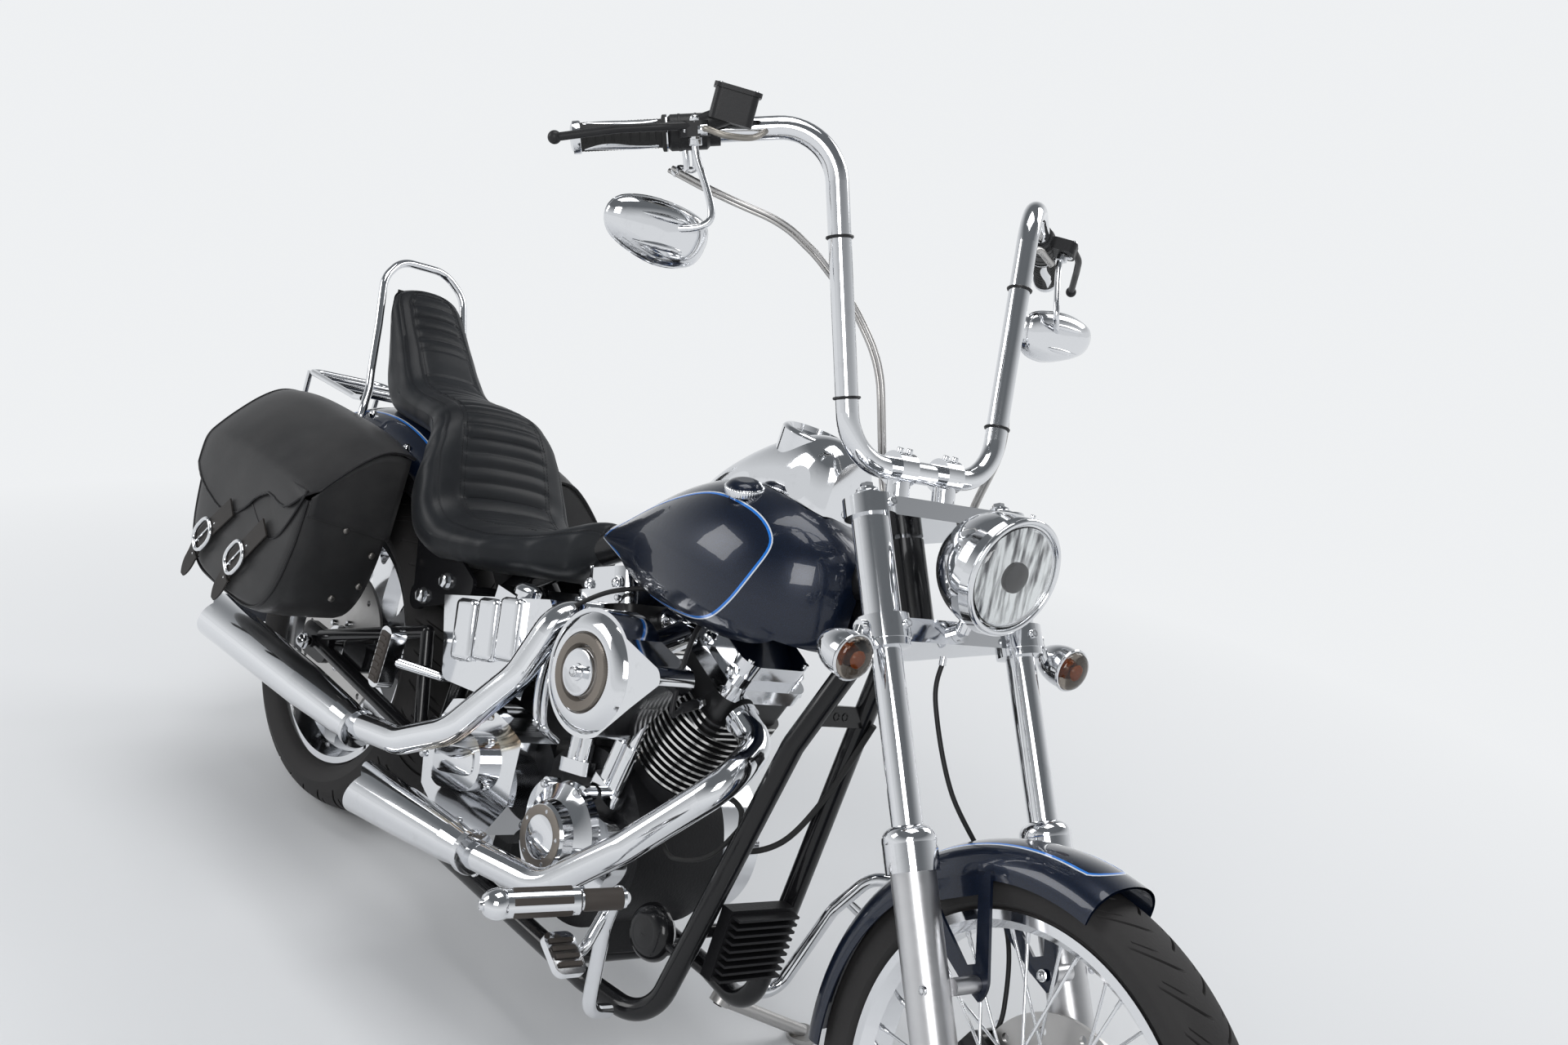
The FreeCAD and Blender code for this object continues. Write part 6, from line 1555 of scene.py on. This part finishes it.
def boltOn(form, skin, start, towards, kind, across, high):
    # a bolt head seated where a line from outside meets the solid
    found = skin.hit(start, towards)
    if found:
        getattr(form, kind)(found[0] - found[1] * 0.0002, -Vector(towards), across, high)


def buildCleaner():
    ring, disc = Form(), Form()
    along, high = engine["cleaner"]
    inner, outer = engine["cleanerRing"]
    centre = Vector((along, engine["cleanerFace"] - 0.0004, high))
    steps, last = 360, 6
    rows = []
    for band in range(last + 1):
        # fine ridges between the flat inner and outer edges
        row = circle(centre, toRight, inner + (outer - inner) * band / last, steps)
        if 0 < band < last:
            ridge = [engine["ringRise"] + 0.0005 * math.cos(swing * 90 + band * math.pi)
                     for swing in turns(steps)]
            row = [spot + toRight * rise for spot, rise in zip(row, ridge)]
        rows.append(row)
    ring.rings(rows, capped=False)
    hub = Vector((along, -0.210, high))
    disc.lathe([(-0.004, 0.0358), (0.0010, 0.0356), (0.0022, 0.0340), (0.0022, 0.0310), (0.0012, 0.0290),
                (0.0010, 0.0135), (0.0030, 0.0125), (0.0032, 0.0003)], hub, toRight, 72)
    disc.socketBolt(hub + toRight * 0.0028, toRight, 0.0165, 0.0085)
    disc.tube(circle(centre + toRight * 0.0010, toRight, outer + 0.0004, 90), 0.0011, 6, closed=True)
    makePiece("air_cleaner_ring", ring, "grey_ring", sharp=60)
    makePiece("air_cleaner_disc", disc, "chrome")


def buildCases():
    bolts, rings, leads = Form(), Form(), Form()
    inner, outer = engine["camRing"]
    face = Vector((engine["cam"][0], engine["camFace"], engine["cam"][1]))
    rings.lathe([(-0.001, outer), (0.0009, outer), (0.0012, outer - 0.0008), (0.0012, inner),
                 (-0.001, inner)],
                face, toRight, 64)
    bolts.lathe([(-0.0032, inner - 0.0005), (0.0012, inner - 0.0005), (0.0020, inner - 0.003),
                 (0.0028, 0.012),
                 (0.0030, 0.0003)], face, toRight, 56)
    for swing in turns(5, 0.25):
        bolts.socketBolt(face + spoke(swing) * (inner + outer) / 2 + toRight * 0.0010, toRight, 0.0062,
                         0.0012)
    cases = Skin("cam_cover", "gearbox_cover", "engine_cases", "oil_tank", "rocker_covers", "cylinders")
    middle, reach = engine["bossMiddle"], engine["bossReach"]
    low, high, bottom, top = engine["gearPlate"]
    spots = [(middle[0] + reach[0] * math.cos(swing + 0.3), middle[1] + reach[1] * math.sin(swing + 0.3))
             for swing in turns(6)]
    spots += [(along, level) for along in (low + 0.014, (low + high) / 2 + 0.02, high - 0.014)
              for level in (bottom + 0.014, top - 0.014)]
    for along, level in spots + [(low + 0.012, 0.31), (low + 0.012, 0.38)]:
        boltOn(bolts, cases, (along, -0.5, level), toLeft, "socketBolt", 0.0130, 0.0075)
    # the oval lid of the gearbox: a raised lozenge with a bright edge and four screws
    tilt = math.radians(engine["ovalTurn"])
    run, lift = spoke(-tilt), spoke(math.pi / 2 - tilt)
    middle = Vector((engine["gearOval"][0], -0.181, engine["gearOval"][1]))
    halfRun, halfLift = engine["ovalHalf"]
    bolts.rings([[middle + toRight * rise
                  + (run * math.cos(swing) * halfRun + lift * math.sin(swing) * halfLift)
                  * share * (math.cos(swing) ** 4 + math.sin(swing) ** 4) ** -0.25 for swing in turns(64)]
                 for share, rise in ((1.0, -0.001), (0.97, 0.0022), (0.90, 0.0032))])
    for across, above in ((1, 1), (1, -1), (-1, 1), (-1, -1)):
        spot = middle + run * 0.066 * across + lift * 0.036 * above + toRight * 0.3
        boltOn(bolts, cases, spot, toLeft, "socketBolt", 0.0120, 0.0065)
    # rocker cover nuts, head bolts, cover screws and spark plugs
    for sign in (1, -1):
        up = onBarrel(sign, 1) - onBarrel(sign, 0)
        for hand in (-1, 1):
            for rise, reach, *kind in ((0.034, 0.036, "domeNut", 0.0190, 0.0120),
                                       (0.009, 0.050, "socketBolt", 0.0110, 0.0060)):
                for ahead in (-reach, reach):
                    spot = onBarrel(sign, engine["headTop"] + rise, ahead, 0.4 * hand)
                    boltOn(bolts, cases, spot, (0, -hand, 0), *kind)
        for ahead in (-0.052, 0.052):
            for side in (-0.058, 0.058):
                spot = onBarrel(sign, engine["rockerTop"] + 0.1, ahead * 0.86, side)
                boltOn(bolts, cases, spot, -up, "socketBolt", 0.0100, 0.0050)
        plug = onBarrel(sign, engine["stackTop"] + 0.035, 0.030 * sign, -0.076)
        out = (onBarrel(sign, 0, 0.30 * sign, -1) - onBarrel(sign, 0)).normalized()
        bolts.lathe([(0, 0.0085), (0.008, 0.0085), (0.009, 0.0062), (0.022, 0.0058)], plug, out, 6)
        leads.lathe([(0.016, 0.0072), (0.018, 0.0085), (0.046, 0.0080), (0.052, 0.0050)], plug, out, 20)
        tip, home = plug + out * 0.050, Vector((0.905 + 0.02 * sign, -0.035, 0.768))
        bend = tip.lerp(home, 0.5) + Vector((0.012 * sign, -0.036, 0.020))
        leads.tube(smoothLine([tip, tip + out * 0.026, bend, home], 34), 0.0040, 10)
    # screws round the primary cover and its round lid
    primary = Skin("primary_cover")
    for (along, high, reach), start in zip(engine["primary"], (-80, 100)):
        for step in range(6):
            swing = math.radians(start + 32 * step)
            spot = (along + reach * math.cos(swing), 0.5, high + reach * math.sin(swing))
            boltOn(bolts, primary, spot, toRight, "socketBolt", 0.0120, 0.0060)
    along, high, reach = engine["derby"]
    lid = primary.hit((along, 0.5, high), toRight)[0]
    bolts.lathe([(-0.004, reach), (0.0030, reach), (0.0055, reach * 0.96), (0.0070, reach * 0.80),
                 (0.0100, reach * 0.4), (0.0105, 0.0003)], lid, toLeft, 72)
    for swing in turns(5, 0.5):
        bolts.socketBolt(lid + spoke(swing) * reach * 0.86 + toLeft * 0.0056, toLeft, 0.0095, 0.0040)
    makePiece("engine_fasteners", bolts, "chrome")
    makePiece("cam_cover_ring", rings, "grey_ring")
    makePiece("plug_leads", leads, "black_plastic")


# Pipes: silencer clamps, thin oil pipes from the cases to the tank, and vent hoses ahead of the cases
pipeFacts = {
    "clamps": (((0.790, -0.240, 0.2785), (-0.322, -0.010, -0.037)),
               ((0.392, -0.240, 0.3120), (-0.578, -0.010, -0.011))),
    "clampReach": 0.0335, "pipeStep": 0.022,
    "oilPipe": [(0.742, -0.120, 0.455), (0.738, -0.152, 0.480), (0.726, -0.160, 0.535),
                (0.712, -0.150, 0.585),
                (0.690, -0.118, 0.610)],
    "hoses": [([(1.035, -0.030, 0.470), (1.065, -0.040, 0.505), (1.105, -0.030, 0.500),
                (1.112, -0.010, 0.440),
                (1.150, 0.030, 0.470), (1.185, 0.050, 0.560), (1.225, 0.052, 0.690)], 60, 0.0046, 12),
              ([(1.000, -0.060, 0.395), (1.060, -0.085, 0.400), (1.120, -0.070, 0.440),
                (1.175, -0.062, 0.560)],
               40, 0.0036, 10)],
}


def buildPipes():
    clamps, pipes, hoses = Form(), Form(), Form()
    reach = pipeFacts["clampReach"]
    for middle, run in pipeFacts["clamps"]:
        clamps.lathe([(-0.006, reach), (-0.0055, reach + 0.002), (0.0055, reach + 0.002), (0.006, reach)],
                     middle, run, 44)
        clamps.hexBolt(Vector(middle) + Vector((0, 0.016, -reach - 0.001)), (0, 1, -0.2), 0.010, 0.007)
    for shift in (Vector(), Vector((pipeFacts["pipeStep"], 0, 0))):
        pipes.tube(smoothLine([Vector(spot) + shift for spot in pipeFacts["oilPipe"]], 36), 0.0052, 12)
        pipes.hexBolt(Vector((0.738, -0.150, 0.478)) + shift, (0.1, -0.3, -1), 0.014, 0.008)
    for spots, count, radius, sides in pipeFacts["hoses"]:
        hoses.tube(smoothLine(spots, count), radius, sides)
    makePiece("pipe_clamps", clamps, "chrome")
    makePiece("oil_pipes", pipes, "chrome")
    makePiece("vent_hoses", hoses, "rubber")


hot, cool = [(upright @ Vector((along, 0, 0))).x for along in (0.80, 0.585)]
for label, finish in (("cylinders", finFinish()), ("exhaust_rear", heatFinish("heatedPipe", hot, cool))):
    nodes[label].data.materials[0] = finish
buildCleaner()
buildCases()
buildPipes()
print("engine dressed")


# Wheels: nipples, valve, disc and pulley bolts
wheels = {
    "spokes": 40, "rimReach": 0.2585, "rimSide": 0.007, "rimSpread": 0.0026, "hubReach": 0.038,
    "hubSide": 0.040,
    "hubTurn": 62, "valveTurn": -64, "frontBolts": (0.030, 0.0665), "rearBolts": (0.048, -0.0815),
    "pulleyBolts": (0.062, 0.1295),
}


def buildWheels():
    nipples, rearBits, frontBits, valve = Form(), Form(), Form(), Form()

    def lacing(turn, reach, side):
        return frontAxle + spoke(turn) * wheels[reach] + Vector((0, side, 0))

    for index, turn in enumerate(turns(wheels["spokes"])):
        side = 1 if index % 2 else -1
        lead = 1 if (index // 2) % 2 else -1
        spread = lead * wheels["rimSpread"]
        outer = lacing(turn, "rimReach", side * wheels["rimSide"] + spread)
        inner = lacing(turn + lead * math.radians(wheels["hubTurn"]), "hubReach",
                       side * wheels["hubSide"] + spread)
        nipples.lathe([(-0.001, 0.0042), (0.004, 0.0040), (0.005, 0.0031), (0.017, 0.0029), (0.019, 0.0024)],
                      outer,
                      inner - outer, 10)
        nipples.button(inner + (outer - inner).normalized() * 0.002, (0, side, 0), 0.0046, 0.0022)
    out = spoke(math.radians(wheels["valveTurn"]))
    valve.lathe([(0, 0.0058), (0.006, 0.0050), (0.008, 0.0036), (0.026, 0.0034), (0.027, 0.0042),
                 (0.037, 0.0040),
                 (0.038, 0.0030)], frontAxle + out * 0.256, -out, 18)
    nipples.lathe([(0, 0.0075), (0.0035, 0.0075)], frontAxle + out * 0.2545, -out, 6)
    for swing in turns(5):
        for form, axle, part, towards, across, high in (
                (frontBits, frontAxle, "frontBolts", toLeft, 0.0110, 0.0050),
                (rearBits, rearAxle, "rearBolts", toRight, 0.0130, 0.0060),
                (rearBits, rearAxle, "pulleyBolts", toLeft, 0.0130, 0.0060)):
            reach, face = wheels[part]
            form.socketBolt(axle + spoke(swing) * reach + toLeft * face, towards, across, high)
    for axis in (toLeft, toRight):
        rearBits.domeNut(rearAxle + axis * 0.1560, axis, 0.026, 0.016)
    makePiece("front_wheel_nipples", nipples, "chrome", "front_wheel", sharp=50)
    makePiece("front_disc_bolts", frontBits, "chrome", "front_wheel")
    makePiece("front_valve", valve, "black_plastic", "front_wheel")
    makePiece("rear_wheel_bolts", rearBits, "chrome", "rear_wheel")


# Frame: strut bolts, cross bracket, oil tank panels, footrests, fuel cap and the fork's brake line
body = {
    "strutBolts": [(0.3007, 0.5329), (0.3586, 0.5804)], "strutNuts": [(0.090, 0.748), (-0.085, 0.770)],
    "bracket": (1.208, 0.695, 0.060), "cap": (0.964, -0.090, 0.947), "capAxis": (0, -0.28, 1),
    "capRadius": 0.0285,
    "panel": (0.484, 0.1535, 0.536), "panelStep": (0.0585, 0, 0.0225), "panelTilt": 0.28,
    "panelLayers": ((0.0, -0.006), (0.0, 0.0), (0.0035, 0.0045), (0.010, 0.0062), (0.018, 0.0066)),
    "peg": ((1.192, 0.286, 0.414), (1.122, 0.460, 0.376)), "pad": (0.364, 0.2222, 0.434),
    "pedal": (1.188, 0.358, 0.334), "pedalTurn": 28,
}


def roundedBox(halfWide, halfHigh, radius, steps):
    # the corners of a rounded rectangle, as (across, above) pairs
    outline = []
    for across, above, start in ((1, 1, 0), (-1, 1, 90), (-1, -1, 180), (1, -1, 270)):
        for step in range(steps + 1):
            swing = math.radians(start + 90 * step / steps)
            outline.append((across * halfWide + radius * math.cos(swing),
                            above * halfHigh + radius * math.sin(swing)))
    return outline


def buildStruts():
    bolts, plate = Form(), Form()
    skin = Skin("fender_struts", "rear_fender", "frame", "fuel_tank")
    for hand in (1, -1):
        for spots, *kind in ((body["strutBolts"], "hexBolt", 0.0210, 0.0120),
                             (body["strutNuts"], "domeNut", 0.0160, 0.0100)):
            for along, high in spots:
                boltOn(bolts, skin, (along, 0.5 * hand, high), (0, -hand, 0), *kind)
    makePiece("strut_bolts", bolts, "chrome")
    along, high, half = body["bracket"]
    plate.rings([[Vector((along + shift - above * 0.25, across, high + above))
                  for across, above in roundedBox(half - 0.006, 0.0085, 0.006,
                                                  4)] for shift in (-0.0025, 0.0025)])
    for across in (-0.016, 0.002):
        plate.lathe([(-0.0002, 0.0062), (0.0012, 0.0062), (0.0012, 0.0044), (-0.0002, 0.0044)],
                    (along + 0.0027, across, high), (1, 0, 0.25), 22)
    makePiece("cross_bracket", plate, "frame_black", bevel=0.0005)


def buildOilPanels():
    # three broad soft panels a side on the oil tank
    panels = Form()
    tilt = body["panelTilt"]
    for step in range(3):
        middle = Vector(body["panel"]) + Vector(body["panelStep"]) * step
        panels.rings([[middle + Vector((x - z * tilt, lift, z + x * tilt))
                       for x, z in roundedBox(0.0155, 0.0395, 0.0115 - inset * 0.6, 6)]
                      for inset, lift in body["panelLayers"]])
    makePiece("oil_tank_panels", paired(panels), "chrome", sharp=60)


def buildRests():
    rubbers, metal = Form(), Form()
    tilt = math.radians(body["pedalTurn"])
    lift, across = spoke(math.pi / 2 - tilt), spoke(-tilt)
    for hand in (1, -1):
        sideways = Vector((0, hand, 0))
        start, end = [sided(Vector(spot), hand) for spot in body["peg"]]
        run = (end - start).normalized()
        rubbers.lathe([(0.004, 0.0134), (0.005, 0.0150), (0.056, 0.0150), (0.058, 0.0134)], start, run, 28)
        side, up = axes(run)[:2]
        for swing in turns(6, 0.5):
            out = side * math.cos(swing) + up * math.sin(swing)
            rubbers.bar(start + run * 0.074 + out * 0.0188, start + run * 0.152 + out * 0.0188, 0.0085,
                        0.0036, up=out)
        metal.socketBolt(start + run * 0.1895, run, 0.014, 0.006)
        # the passenger's folded pad with its treads, and the pedal's treads
        pad, pedal = [sided(Vector(body[part]), hand) for part in ("pad", "pedal")]
        rubbers.bar(pad - Vector((0, 0, 0.045)), pad + Vector((0, 0, 0.045)), 0.0235, 0.0050, up=sideways)
        for step in range(7):
            level = pad + Vector((0, 0.0030 * hand, -0.036 + 0.012 * step))
            rubbers.bar(level - toFront * 0.0095, level + toFront * 0.0095, 0.0045, 0.0032, up=sideways)
        for step in (-0.018, -0.006, 0.006, 0.018):
            spot = pedal + lift * 0.0068 + across * step
            rubbers.bar(spot + toRight * 0.019, spot + toLeft * 0.019, 0.0060, 0.0030, up=lift)
    makePiece("rest_rubbers", rubbers, "rest_rubber", bevel=0.0008)
    makePiece("rest_bolts", metal, "chrome")


def buildCap():
    cap = Form()
    radius = body["capRadius"]

    def knurl(along, reach, swing):
        return reach + (0.0005 * math.cos(swing * 48) if 0.001 < along < 0.007 else 0.0)

    cap.lathe([(-0.004, radius), (0.0015, radius + 0.0016), (0.0060, radius + 0.0016),
               (0.0075, radius + 0.0002),
               (0.0105, radius * 0.86), (0.0130, radius * 0.55),
               (0.0138, 0.0003)], body["cap"], body["capAxis"], 192, knurl)
    makePiece("cap_knurl", cap, "chrome", sharp=55)


def buildBrakeLine():
    line, clips = Form(), Form()
    route = [onFork(*spot) for spot in (
        (0.612, -0.034, 0.010), (0.560, -0.052, 0.004), (0.440, -0.060, 0.020), (0.335, -0.052, 0.062),
        (0.240, -0.058, 0.092), (0.150, -0.075, 0.084), (0.112, -0.088, 0.066))]
    line.tube(smoothLine(route, 70), 0.0035, 10)
    clips.lathe([(-0.006, 0.0052), (0.006, 0.0052)], route[0], route[1] - route[0], 16)
    clips.lathe([(-0.012, 0.0056), (0.004, 0.0056)], route[-1], route[-1] - route[-2], 16)
    for along in (0.026, 0.132):
        clips.socketBolt(onFork(along, -0.092, 0.0875), toLeft, 0.011, 0.005)
    makePiece("fork_brake_line", line, "black_plastic", "steering")
    makePiece("caliper_fittings", clips, "chrome", "steering")


buildWheels()
buildStruts()
buildOilPanels()
buildRests()
buildCap()
buildBrakeLine()
print("wheels and frame dressed")
